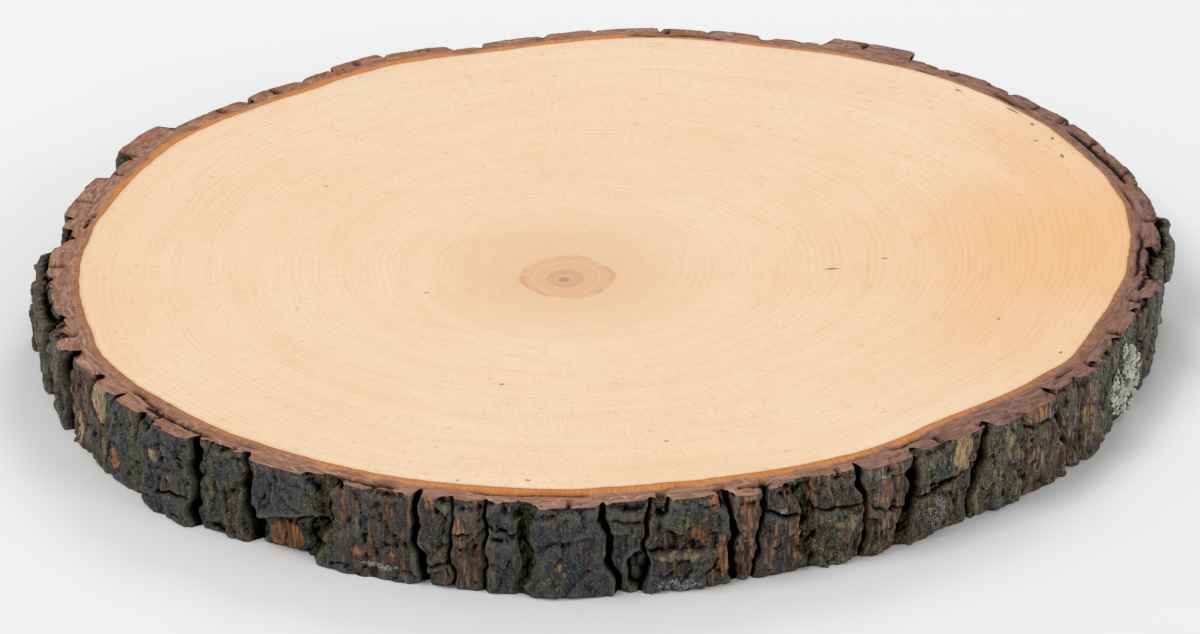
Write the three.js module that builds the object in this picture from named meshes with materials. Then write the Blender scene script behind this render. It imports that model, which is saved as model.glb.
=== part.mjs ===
// Tree slice: a disc sawn across the trunk of a broadleaf tree, with all of its bark.
// Wood and bark grew as one body. A patch of lichen clings to the bark at the front right.
// Millimetres, +Z up. The origin is on the underside, at the middle of the slice's bounding box.
// Angles are degrees, counter-clockwise from +X as seen from above, so the front is at 270.

import * as THREE from 'three';

// ---------- driving dimensions ----------

const THICKNESS = 30;
const FULL_TURN = 360;

// The point that the wood's and bark's radii are measured from, and the pith, off to one side of it.
const TRUNK_CENTRE = new THREE.Vector2(1.3, 1.6);
const PITH = new THREE.Vector2(-14, -29);

// Trunk centre to the outermost wood ring, every 15 degrees from +X.
const WOOD_RADII = [
  174, 177, 180, 181, 179, 177, 173, 166, 167, 166, 170, 171,
  174, 177, 182, 181, 179, 177, 172, 169, 167, 165, 169, 171,
];

// The bark splits into plates as the trunk swells. One row is a fissure and the plate after it:
// fissure angle at the top face, its angle at the underside, its width and depth,
// plate thickness over the wood low down and high up, and the height of a cross crack (0 for none).
const PLATES = [
  [5.5, 6.0, 3.0, 5.0, 10.5, 10.0, 0],
  [13.5, 13.0, 2.0, 4.0, 10.0, 10.0, 14],
  [22.5, 22.5, 2.0, 3.0, 11.0, 10.5, 0],
  [30.5, 31.0, 2.5, 4.5, 10.5, 10.0, 18],
  [40.3, 40.0, 2.5, 4.5, 9.5, 9.0, 0],
  [50.0, 50.5, 3.0, 5.0, 10.0, 9.0, 12],
  [54.6, 55.0, 1.8, 3.0, 13.5, 15.5, 0],
  [65.2, 64.6, 3.0, 6.0, 9.5, 9.0, 0],
  [71.2, 71.6, 6.0, 6.0, 10.0, 10.5, 16],
  [78.4, 78.0, 2.0, 3.0, 10.0, 9.5, 0],
  [84.4, 84.8, 2.2, 7.5, 10.5, 10.0, 11],
  [91.5, 91.0, 1.8, 3.0, 10.0, 10.0, 0],
  [98.3, 98.8, 3.0, 5.0, 9.5, 9.5, 17],
  [106.0, 105.5, 3.0, 4.5, 7.5, 7.0, 0],
  [109.4, 109.9, 2.5, 5.0, 10.5, 10.5, 13],
  [118.2, 118.0, 2.5, 5.0, 11.0, 12.0, 0],
  [125.0, 125.6, 2.5, 5.0, 10.0, 10.0, 0],
  [129.8, 130.0, 2.5, 4.0, 11.0, 10.5, 19],
  [138.0, 137.4, 4.0, 6.0, 10.0, 9.5, 0],
  [149.2, 149.6, 2.0, 5.0, 12.0, 15.5, 10],
  [158.5, 158.0, 5.0, 8.0, 9.5, 9.0, 0],
  [164.0, 163.6, 2.5, 5.0, 12.5, 13.5, 15],
  [174.4, 173.6, 3.0, 5.0, 14.0, 11.0, 0],
  [181.3, 180.4, 3.0, 5.0, 17.0, 11.5, 16],
  [189.2, 188.0, 2.5, 5.0, 13.5, 12.5, 0],
  [198.0, 196.8, 2.5, 5.0, 11.5, 12.0, 18],
  [205.6, 204.4, 2.5, 5.0, 9.0, 9.5, 0],
  [211.6, 210.4, 4.0, 7.0, 10.5, 10.5, 19],
  [216.2, 214.6, 2.0, 5.0, 11.0, 12.0, 13],
  [220.2, 220.8, 2.0, 5.0, 14.0, 13.0, 8],
  [227.8, 228.3, 3.0, 8.0, 10.5, 10.0, 0],
  [233.8, 234.6, 4.0, 7.0, 6.5, 11.0, 12],
  [243.2, 241.0, 6.5, 5.5, 11.5, 11.0, 0],
  [251.6, 252.3, 3.0, 8.0, 11.5, 11.0, 8],
  [255.1, 255.3, 1.5, 3.0, 12.0, 12.5, 20],
  [258.1, 258.3, 1.5, 3.0, 12.5, 12.5, 21],
  [262.0, 262.0, 5.0, 4.5, 14.5, 14.0, 0],
  [269.3, 270.5, 3.0, 8.0, 12.0, 12.5, 24],
  [273.6, 272.8, 3.0, 7.0, 14.5, 12.5, 14],
  [281.4, 281.6, 3.0, 6.0, 12.0, 13.5, 0],
  [285.1, 283.6, 2.5, 6.0, 12.5, 12.0, 20],
  [289.3, 289.4, 5.5, 5.0, 12.5, 11.5, 19],
  [295.2, 295.2, 2.5, 7.0, 12.5, 12.0, 15],
  [301.8, 299.8, 5.0, 8.0, 13.0, 13.0, 16],
  [311.2, 308.4, 3.0, 7.0, 14.5, 15.0, 0],
  [315.4, 315.6, 1.5, 3.0, 13.0, 13.5, 24],
  [321.0, 322.2, 3.5, 7.0, 12.0, 12.0, 0],
  [325.3, 325.9, 1.5, 3.0, 11.5, 11.5, 0],
  [329.3, 329.8, 2.5, 5.0, 10.5, 10.5, 0],
  [342.6, 343.4, 3.5, 6.0, 12.5, 12.5, 17],
  [350.5, 351.2, 2.5, 5.0, 14.5, 14.0, 11],
  [358.2, 358.6, 2.0, 4.0, 14.0, 14.0, 0],
];

// Typical radius over the bark, to turn a fissure's width into an angle.
const BARK_RADIUS = 185;
// Share of a fissure's width that its floor takes up between the sloping walls.
const FLOOR_SHARE = 0.45;
const COLUMN_SPACING = 1.3;
// How far, in degrees, a fissure's middle strays from a straight line, and how often over its height.
const FISSURE_WANDER = 0.22;
const FISSURE_WAVE = 0.36;

const CRACK_DEPTH = 1.6;
const CRACK_HALF_HEIGHT = 1.1;
const CRACK_SLANT = 5;
const CRACK_WANDER = 0.8;
const PLATE_CROWN = 1.1;
const EDGE_ROUNDING = 1.3;
const EDGE_HEIGHT = 2;

// Unevenness of the plates: height of the waves and how many of each go round the slice.
const ROUGHNESS = 0.45;
const BROAD_WAVES = 47;
const FINE_WAVES = 101;

// Chips that the saw left along the bark's upper edge, and the groove between bark and wood.
const CHIP_DEPTH = 0.5;
const CHIP_WAVES = 29;
const CAMBIUM_DROP = 0.5;
const CAMBIUM_WIDTH = 0.8;

// The wood's two faces are filled through one sparse ring between the outermost ring and the pith.
const INNER_RING_POINTS = 48;
const INNER_RING_SHARE = 0.6;

// Lichen patch: middle, half sizes, lean, thickness at the rim and on the lobes, gap to the bark.
const LICHEN_ANGLE = 337.9;
const LICHEN_HEIGHT = 13.5;
const LICHEN_HALF_WIDTH = 13;
const LICHEN_HALF_HEIGHT = 11;
const LICHEN_LEAN = 0.3;
const LICHEN_RIM = 0.7;
const LICHEN_LOBE_RISE = 2.2;
const LICHEN_LOBES = 9;
const LICHEN_SPOKES = 54;
const LICHEN_HOOPS = 7;
const CLEARANCE = 0.3;

// ---------- shared helpers ----------

const radians = THREE.MathUtils.degToRad;
const lerp = THREE.MathUtils.lerp;

// Radius of the outermost wood ring: a closed Catmull-Rom curve through the listed radii.
function woodRadius(angle) {
  const count = WOOD_RADII.length;
  const place = (((angle % FULL_TURN) + FULL_TURN) % FULL_TURN) / (FULL_TURN / count);
  const first = Math.floor(place);
  const t = place - first;
  const at = (offset) => WOOD_RADII[(first + offset + count) % count];
  const slopeIn = (at(1) - at(-1)) / 2;
  const slopeOut = (at(2) - at(0)) / 2;
  const rise = at(1) - at(0);
  const cubic = slopeIn + slopeOut - 2 * rise;
  const square = 3 * rise - 2 * slopeIn - slopeOut;
  return at(0) + t * (slopeIn + t * (square + t * cubic));
}

// Point at an angle and radius about the trunk's centre.
function polarPoint(angle, radius, z) {
  const x = TRUNK_CENTRE.x + radius * Math.cos(radians(angle));
  const y = TRUNK_CENTRE.y + radius * Math.sin(radians(angle));
  return new THREE.Vector3(x, y, z);
}

// Collects points and triangles and turns them into one closed mesh.
class Solid {
  constructor() {
    this.points = [];
    this.faces = [];
  }

  add(point) {
    this.points.push(point.x, point.y, point.z);
    return this.points.length / 3 - 1;
  }

  triangle(a, b, c) {
    this.faces.push(a, b, c);
  }

  // Joins two closed loops of equal length, the first one below or inside the second.
  band(lower, upper) {
    for (let i = 0; i < lower.length; i += 1) {
      const next = (i + 1) % lower.length;
      this.triangle(lower[i], lower[next], upper[next]);
      this.triangle(lower[i], upper[next], upper[i]);
    }
  }

  // Closes a loop onto one point, facing the side the loop turns counter-clockwise from.
  fan(loop, centre) {
    for (let i = 0; i < loop.length; i += 1) {
      this.triangle(loop[i], loop[(i + 1) % loop.length], centre);
    }
  }

  mesh(name, colour, roughness) {
    const geometry = new THREE.BufferGeometry();
    geometry.setAttribute('position', new THREE.Float32BufferAttribute(this.points, 3));
    geometry.setIndex(this.faces);
    geometry.computeVertexNormals();
    const material = new THREE.MeshStandardMaterial({ color: colour, roughness });
    material.name = name;
    const mesh = new THREE.Mesh(geometry, material);
    mesh.name = name;
    return mesh;
  }
}

// ---------- bark plates ----------

const plates = PLATES.map(([top, foot, gap, depth, low, high, crack], index) => {
  const next = PLATES[(index + 1) % PLATES.length];
  const wrap = index + 1 < PLATES.length ? 0 : FULL_TURN;
  return {
    top,
    foot,
    gap,
    depth,
    low,
    high,
    crack,
    nextTop: next[0] + wrap,
    nextFoot: next[1] + wrap,
    nextGap: next[2],
  };
});

// Half the angle that a fissure of this width takes up at the bark.
function halfGapAngle(gap) {
  return THREE.MathUtils.radToDeg(gap / 2 / BARK_RADIUS);
}

// Angle of a fissure's middle at a height. Fissures lean, so it runs from the angle at the
// underside to the one at the top face, and it wanders by a wave that differs between fissures.
function fissureAngle(foot, top, z) {
  const wander = FISSURE_WANDER * Math.sin(FISSURE_WAVE * z + 1.7 * (top % FULL_TURN));
  return lerp(foot, top, z / THICKNESS) + wander;
}

// Angle on a plate, a share of the way from its first rim to its second, at a height.
function plateAngle(plate, share, z) {
  const start = fissureAngle(plate.foot, plate.top, z) + halfGapAngle(plate.gap);
  const end = fissureAngle(plate.nextFoot, plate.nextTop, z) - halfGapAngle(plate.nextGap);
  return lerp(start, end, share);
}

// Height of the cross crack on a plate: it slants across it, one way or the other by turns.
// A plate with no crack uses its mid height, so that its rows of points still have a middle.
function crackHeight(plate, share) {
  if (plate.crack === 0) {
    return THICKNESS / 2;
  }
  const slant = CRACK_SLANT * Math.sin(2.4 * plate.top);
  return plate.crack + slant * (share - 0.5) + CRACK_WANDER * Math.sin(5 * share + plate.top);
}

// Slow unevenness of the bark: two crossed waves that close up after a full turn.
function unevenness(angle, z) {
  const turn = radians(angle);
  const broad = Math.sin(BROAD_WAVES * turn + 0.21 * z);
  const fine = 0.7 * Math.sin(FINE_WAVES * turn - 0.5 * z);
  return ROUGHNESS * (broad + fine);
}

// Bark thickness on a plate: it blends from its low to its high thickness about the cross crack,
// falls a little to each rim and is rounded off where the saw left the top and bottom edges.
function plateThickness(plate, share, z) {
  const middle = crackHeight(plate, share);
  const blend = THREE.MathUtils.smoothstep(z, middle - EDGE_HEIGHT, middle + EDGE_HEIGHT);
  const body = lerp(plate.low, plate.high, blend);
  const crown = PLATE_CROWN * Math.abs(2 * share - 1) ** 3;
  const inCrack = plate.crack > 0 && Math.abs(z - middle) < CRACK_HALF_HEIGHT / 2;
  const toEdge = Math.min(z, THICKNESS - z);
  const rounding = EDGE_ROUNDING * (1 - Math.min(toEdge / EDGE_HEIGHT, 1)) ** 2;
  return body - crown - (inCrack ? CRACK_DEPTH : 0) - rounding;
}

// Heights of the rows of points on one column: close together about the cross crack and edges.
function rowHeights(plate, share) {
  const middle = crackHeight(plate, share);
  const low = middle - CRACK_HALF_HEIGHT;
  const high = middle + CRACK_HALF_HEIGHT;
  const top = THICKNESS - EDGE_HEIGHT;
  return [0, EDGE_HEIGHT, (EDGE_HEIGHT + low) / 2, low, middle, high, (high + top) / 2, top, THICKNESS];
}

// ---------- the slice ----------

function buildSlice() {
  const solid = new Solid();
  const columns = [];

  for (const plate of plates) {
    // The fissure's floor, two points wide, between the last plate's rim and this one's.
    for (const side of [-1, 1]) {
      const offset = side * halfGapAngle(plate.gap) * FLOOR_SHARE;
      columns.push({
        heights: rowHeights(plate, 0),
        place: (z) => fissureAngle(plate.foot, plate.top, z) + offset,
        thickness: (z) => plateThickness(plate, 0.5, z) - plate.depth,
      });
    }
    const span = plate.nextTop - plate.top;
    const steps = Math.max(2, Math.round(span / COLUMN_SPACING));
    for (let i = 0; i <= steps; i += 1) {
      const share = i / steps;
      columns.push({
        heights: rowHeights(plate, share),
        place: (z) => plateAngle(plate, share, z),
        thickness: (z) => plateThickness(plate, share, z) + unevenness(plateAngle(plate, share, z), z),
      });
    }
  }

  // Sawn edges are chipped, so the bark's upper edge dips below the face by a varying amount.
  const rows = columns[0].heights.map(() => []);
  for (const column of columns) {
    column.heights.forEach((z, row) => {
      const angle = column.place(z);
      const radius = woodRadius(angle) + column.thickness(z);
      const chip = z === THICKNESS ? CHIP_DEPTH * (1 + Math.sin(CHIP_WAVES * radians(angle))) : 0;
      rows[row].push(solid.add(polarPoint(angle, radius, z - chip)));
    });
  }
  for (let row = 0; row + 1 < rows.length; row += 1) {
    solid.band(rows[row], rows[row + 1]);
  }

  // Top face: bark, a shallow groove where it meets the wood, then the flat wood.
  const rimAt = (column, extra, z) => {
    const angle = column.place(THICKNESS);
    return solid.add(polarPoint(angle, woodRadius(angle) + extra, z));
  };
  const groove = columns.map((column) => rimAt(column, CAMBIUM_WIDTH, THICKNESS - CAMBIUM_DROP));
  const woodEdge = columns.map((column) => rimAt(column, 0, THICKNESS));
  solid.band(rows[rows.length - 1], groove);
  solid.band(groove, woodEdge);
  const topAngles = columns.map((column) => column.place(THICKNESS));
  fillFace(solid, woodEdge, topAngles, THICKNESS, false);

  const footAngles = columns.map((column) => column.place(0));
  fillFace(solid, rows[0], footAngles, 0, true);
  return solid.mesh('wood_slice', 0xcdb08a, 0.85);
}

// Fills a flat face from its outer loop through a sparse ring to the pith.
// The outer loop has many more points than the ring, so the two are stitched by angle.
function fillFace(solid, outer, angles, z, facesDown) {
  const ring = [];
  for (let i = 0; i < INNER_RING_POINTS; i += 1) {
    const angle = angles[0] + (i * FULL_TURN) / INNER_RING_POINTS;
    const rim = polarPoint(angle, woodRadius(angle), z);
    const x = lerp(PITH.x, rim.x, INNER_RING_SHARE);
    const y = lerp(PITH.y, rim.y, INNER_RING_SHARE);
    ring.push(solid.add(new THREE.Vector3(x, y, z)));
  }
  const face = (a, b, c) => (facesDown ? solid.triangle(a, c, b) : solid.triangle(a, b, c));

  let inner = 0;
  for (let i = 0; i < outer.length; i += 1) {
    const wrap = i + 1 < outer.length ? 0 : FULL_TURN;
    const reached = angles[(i + 1) % outer.length] + wrap - angles[0];
    face(outer[i], outer[(i + 1) % outer.length], ring[inner % INNER_RING_POINTS]);
    while (inner < INNER_RING_POINTS && ((inner + 0.5) * FULL_TURN) / INNER_RING_POINTS < reached) {
      const next = (inner + 1) % INNER_RING_POINTS;
      face(outer[(i + 1) % outer.length], ring[next], ring[inner]);
      inner += 1;
    }
  }
  const pith = solid.add(new THREE.Vector3(PITH.x, PITH.y, z));
  for (let i = 0; i < INNER_RING_POINTS; i += 1) {
    face(ring[i], ring[(i + 1) % INNER_RING_POINTS], pith);
  }
}

// ---------- the lichen ----------

// A leaning oval crust with a lobed outline. Its back follows the bark, one clearance off it,
// and its front rises from a thin rim to folded lobes.
function buildLichen() {
  const solid = new Solid();
  const bed = plates.find((plate) => plate.top < LICHEN_ANGLE && LICHEN_ANGLE < plate.nextTop);

  const barkRadiusAt = (angle, z) => {
    const start = plateAngle(bed, 0, z);
    const share = (angle - start) / (plateAngle(bed, 1, z) - start);
    return woodRadius(angle) + plateThickness(bed, share, z) + unevenness(angle, z);
  };

  const pointAt = (turn, reach, height) => {
    const lobes = 1 + 0.09 * Math.sin(LICHEN_LOBES * turn) + 0.05 * Math.sin(4 * turn + 1);
    const up = LICHEN_HALF_HEIGHT * lobes * reach * Math.sin(turn);
    const along = LICHEN_HALF_WIDTH * lobes * reach * Math.cos(turn) - LICHEN_LEAN * up;
    const z = LICHEN_HEIGHT + up;
    const angle = LICHEN_ANGLE + THREE.MathUtils.radToDeg(along / woodRadius(LICHEN_ANGLE));
    return polarPoint(angle, barkRadiusAt(angle, z) + CLEARANCE + height, z);
  };

  const loopAt = (reach, heightAt) => {
    const loop = [];
    for (let i = 0; i < LICHEN_SPOKES; i += 1) {
      const turn = (i / LICHEN_SPOKES) * 2 * Math.PI;
      loop.push(solid.add(pointAt(turn, reach, heightAt(turn))));
    }
    return loop;
  };

  // Lobes are lumps a few millimetres across, from two crossed waves, that fade to the rim.
  const rise = (turn, reach) => {
    const along = LICHEN_HALF_WIDTH * reach * Math.cos(turn);
    const up = LICHEN_HALF_HEIGHT * reach * Math.sin(turn);
    const lumps = Math.sin(0.95 * along + 1.4 * Math.sin(0.45 * up)) * Math.sin(0.8 * up + 0.3 * along);
    return LICHEN_RIM + LICHEN_LOBE_RISE * (0.5 + 0.5 * lumps) * (1 - reach ** 4);
  };

  const front = [];
  const back = [];
  for (let hoop = LICHEN_HOOPS; hoop >= 1; hoop -= 1) {
    const reach = hoop / LICHEN_HOOPS;
    front.push(loopAt(reach, (turn) => (hoop === LICHEN_HOOPS ? LICHEN_RIM : rise(turn, reach))));
    back.push(loopAt(reach, () => 0));
  }
  for (let hoop = 0; hoop + 1 < LICHEN_HOOPS; hoop += 1) {
    solid.band(front[hoop], front[hoop + 1]);
    solid.band(back[hoop + 1], back[hoop]);
  }
  solid.band(back[0], front[0]);
  solid.fan(front[LICHEN_HOOPS - 1], solid.add(pointAt(0, 0, rise(0, 0))));
  solid.fan([...back[LICHEN_HOOPS - 1]].reverse(), solid.add(pointAt(0, 0, 0)));
  return solid.mesh('lichen', 0xb9c4ae, 0.95);
}

const treeSlice = new THREE.Group();
treeSlice.name = 'tree_slice';
treeSlice.add(buildSlice(), buildLichen());

export default treeSlice;
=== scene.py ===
"""A slice sawn across a broadleaf trunk, lying flat: bare wood face, thick split bark, a patch of lichen.

Lengths inside the shape formulas are in millimetres and angles in degrees, counter-clockwise from +X
seen from above, so the front is at 270. Meshes are made in metres.
"""

import itertools
import math

import bpy
import numpy as np
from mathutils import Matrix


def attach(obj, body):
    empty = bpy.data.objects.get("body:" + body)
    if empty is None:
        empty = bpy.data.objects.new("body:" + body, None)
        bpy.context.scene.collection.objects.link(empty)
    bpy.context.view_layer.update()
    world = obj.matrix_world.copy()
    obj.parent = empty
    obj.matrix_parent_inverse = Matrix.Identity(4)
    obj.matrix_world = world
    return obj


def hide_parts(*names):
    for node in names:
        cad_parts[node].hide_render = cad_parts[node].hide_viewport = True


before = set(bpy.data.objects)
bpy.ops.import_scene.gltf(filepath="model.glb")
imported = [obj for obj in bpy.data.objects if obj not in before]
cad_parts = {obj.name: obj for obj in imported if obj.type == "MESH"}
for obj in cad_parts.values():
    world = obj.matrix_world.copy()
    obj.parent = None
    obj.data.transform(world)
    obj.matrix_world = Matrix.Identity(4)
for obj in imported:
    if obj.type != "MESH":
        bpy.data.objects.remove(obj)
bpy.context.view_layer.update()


# ---------------------------------------------------------------------------------------------
# The slice: wood and bark of one trunk, sawn through twice. The bark has split into upright
# plates with deep fissures between them; the plates flake in layers and crack across.
# It is one closed body, made on a grid whose columns follow the fissures.

# Rings near the pith follow the mean radius of the wood. The mean radius of the bark turns angles into
# lengths along it. ROUND_WOOD is the wood's radius in the perfectly round trunk that rings and grain
# are drawn on.
THICKNESS = 30.0
TRUNK_CENTRE = np.array([1.3, 1.6])
PITH = np.array([-14.0, -29.0])
MEAN_WOOD = 173.5
MEAN_BARK = 185.0
ROUND_WOOD = 175.0

# Trunk centre to the outermost ring, every 10 degrees from +X.
WOOD_RADII = np.array([
    173.5, 176.5, 178, 179.5, 181, 181, 178.5, 175, 174, 172.5, 167, 166,
    167, 165, 167, 170, 170.5, 171.5, 174, 176.5, 179, 182, 181, 180,
    179, 177.5, 175.5, 172.5, 169, 168, 167, 164, 167, 169, 168, 170.5,
])

# One row is a fissure and the plate after it: the fissure's angle at the top face and at the
# underside, its width and depth, the plate's thickness low down and high up, the height of a
# cross crack (0 for none), then how slate-grey, how rusty and how mossy the plate is.
TOP_ANGLE, FOOT_ANGLE, GAP, DEPTH, LOW_BARK, HIGH_BARK, CRACK, SLATE, RUST, MOSS = range(10)
PLATES = np.array([
    (5.5, 6.0, 3.0, 5.0, 10.5, 10.0, 0, 0.5, 0.5, 0.1),
    (13.5, 13.0, 2.0, 4.0, 10.0, 10.0, 14, 0.6, 0.3, 0.1),
    (22.5, 22.5, 2.0, 3.0, 11.0, 10.5, 0, 0.5, 0.4, 0.2),
    (30.5, 31.0, 2.5, 4.5, 10.5, 10.0, 18, 0.7, 0.3, 0.1),
    (40.3, 40.0, 2.5, 4.5, 9.5, 9.0, 0, 0.4, 0.6, 0.1),
    (50.0, 50.5, 3.0, 5.0, 10.0, 9.0, 12, 0.6, 0.3, 0.2),
    (54.6, 55.0, 1.8, 3.0, 13.5, 15.5, 0, 0.9, 0.2, 0.1),
    (65.2, 64.6, 3.0, 6.0, 9.5, 9.0, 0, 0.5, 0.5, 0.3),
    (71.2, 71.6, 6.0, 6.0, 10.0, 10.5, 16, 0.6, 0.3, 0.2),
    (78.4, 78.0, 2.0, 3.0, 10.0, 9.5, 0, 0.7, 0.2, 0.1),
    (84.4, 84.8, 2.2, 7.5, 10.5, 10.0, 11, 0.5, 0.5, 0.2),
    (91.5, 91.0, 1.8, 3.0, 10.0, 10.0, 0, 0.7, 0.3, 0.1),
    (98.3, 98.8, 3.0, 5.0, 9.5, 9.5, 17, 0.4, 0.6, 0.1),
    (106.0, 105.5, 3.0, 4.5, 7.5, 7.0, 0, 0.3, 0.7, 0.2),
    (109.4, 109.9, 2.5, 5.0, 10.5, 10.5, 13, 0.7, 0.2, 0.2),
    (118.2, 118.0, 2.5, 5.0, 11.0, 12.0, 0, 0.8, 0.2, 0.1),
    (125.0, 125.6, 2.5, 5.0, 10.0, 10.0, 0, 0.5, 0.4, 0.3),
    (129.8, 130.0, 2.5, 4.0, 11.0, 10.5, 19, 0.6, 0.4, 0.1),
    (138.0, 137.4, 4.0, 6.0, 10.0, 9.5, 0, 0.5, 0.5, 0.2),
    (149.2, 149.6, 2.0, 5.0, 12.0, 15.5, 10, 0.9, 0.1, 0.0),
    (158.5, 158.0, 5.0, 8.0, 9.5, 9.0, 0, 0.4, 0.5, 0.3),
    (164.0, 163.6, 2.5, 5.0, 12.5, 13.5, 15, 0.8, 0.3, 0.1),
    (174.4, 173.6, 3.0, 5.0, 14.0, 11.0, 0, 0.4, 0.2, 0.1),
    (181.3, 180.4, 3.0, 5.0, 17.0, 16.0, 16, 0.2, 0.5, 0.1),
    (189.2, 188.0, 3.0, 7.0, 13.5, 15.0, 0, 0.6, 0.1, 0.5),
    (198.0, 196.8, 3.0, 7.0, 11.5, 13.0, 18, 0.5, 0.4, 0.3),
    (205.6, 204.4, 3.0, 7.0, 9.0, 9.5, 0, 0.2, 0.8, 0.1),
    (211.6, 210.4, 4.0, 7.0, 10.5, 10.5, 19, 0.3, 0.5, 0.2),
    (216.2, 214.6, 2.4, 7.0, 11.0, 12.0, 13, 0.9, 0.2, 0.3),
    (220.2, 220.8, 2.2, 6.5, 14.0, 13.0, 8, 0.9, 0.1, 0.2),
    (227.8, 228.3, 3.0, 8.0, 10.5, 10.0, 0, 0.6, 0.2, 0.3),
    (233.8, 234.6, 4.0, 7.0, 6.5, 11.0, 12, 1.0, 0.0, 0.1),
    (243.2, 241.0, 6.5, 5.5, 11.5, 11.0, 0, 0.7, 0.4, 0.2),
    (251.6, 252.3, 3.0, 8.0, 11.5, 11.0, 8, 0.6, 0.3, 0.3),
    (255.1, 255.3, 1.5, 3.0, 12.0, 12.5, 20, 0.6, 0.5, 0.1),
    (258.1, 258.3, 1.5, 3.0, 12.5, 12.5, 21, 0.8, 0.1, 0.2),
    (262.0, 262.0, 5.0, 4.5, 14.5, 14.0, 0, 1.0, 0.1, 0.1),
    (269.3, 270.5, 2.4, 8.0, 12.0, 12.5, 24, 0.8, 0.2, 0.2),
    (273.6, 272.8, 2.0, 6.0, 14.5, 12.5, 14, 0.8, 0.2, 0.3),
    (281.4, 281.6, 3.0, 6.0, 12.0, 13.5, 0, 0.2, 0.8, 0.0),
    (285.1, 283.6, 2.5, 6.0, 12.5, 12.0, 20, 0.5, 0.4, 0.2),
    (289.3, 289.4, 5.5, 5.0, 12.5, 11.5, 19, 0.5, 0.2, 0.4),
    (295.2, 295.2, 2.5, 7.0, 12.5, 12.0, 15, 0.4, 0.7, 0.1),
    (301.8, 299.8, 5.0, 8.0, 13.0, 13.0, 16, 0.5, 0.3, 0.4),
    (311.2, 308.4, 3.0, 7.0, 14.5, 15.0, 0, 0.5, 0.2, 0.5),
    (315.4, 315.6, 1.5, 3.0, 13.0, 13.5, 24, 0.3, 0.6, 0.3),
    (321.0, 324.0, 3.2, 9.0, 12.0, 12.0, 0, 0.5, 0.4, 0.2),
    (325.3, 325.9, 1.5, 3.0, 11.5, 11.5, 0, 0.3, 0.6, 0.1),
    (329.3, 329.8, 2.5, 7.0, 10.5, 10.5, 0, 0.4, 0.2, 0.6),
    (342.6, 343.4, 3.5, 6.0, 11.5, 12.5, 17, 0.8, 0.3, 0.1),
    (350.5, 351.2, 2.5, 5.0, 10.5, 11.5, 10, 0.1, 0.4, 0.0),
    (358.2, 358.6, 2.0, 4.0, 8.5, 14.5, 14, 0.3, 0.2, 0.0),
])

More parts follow.
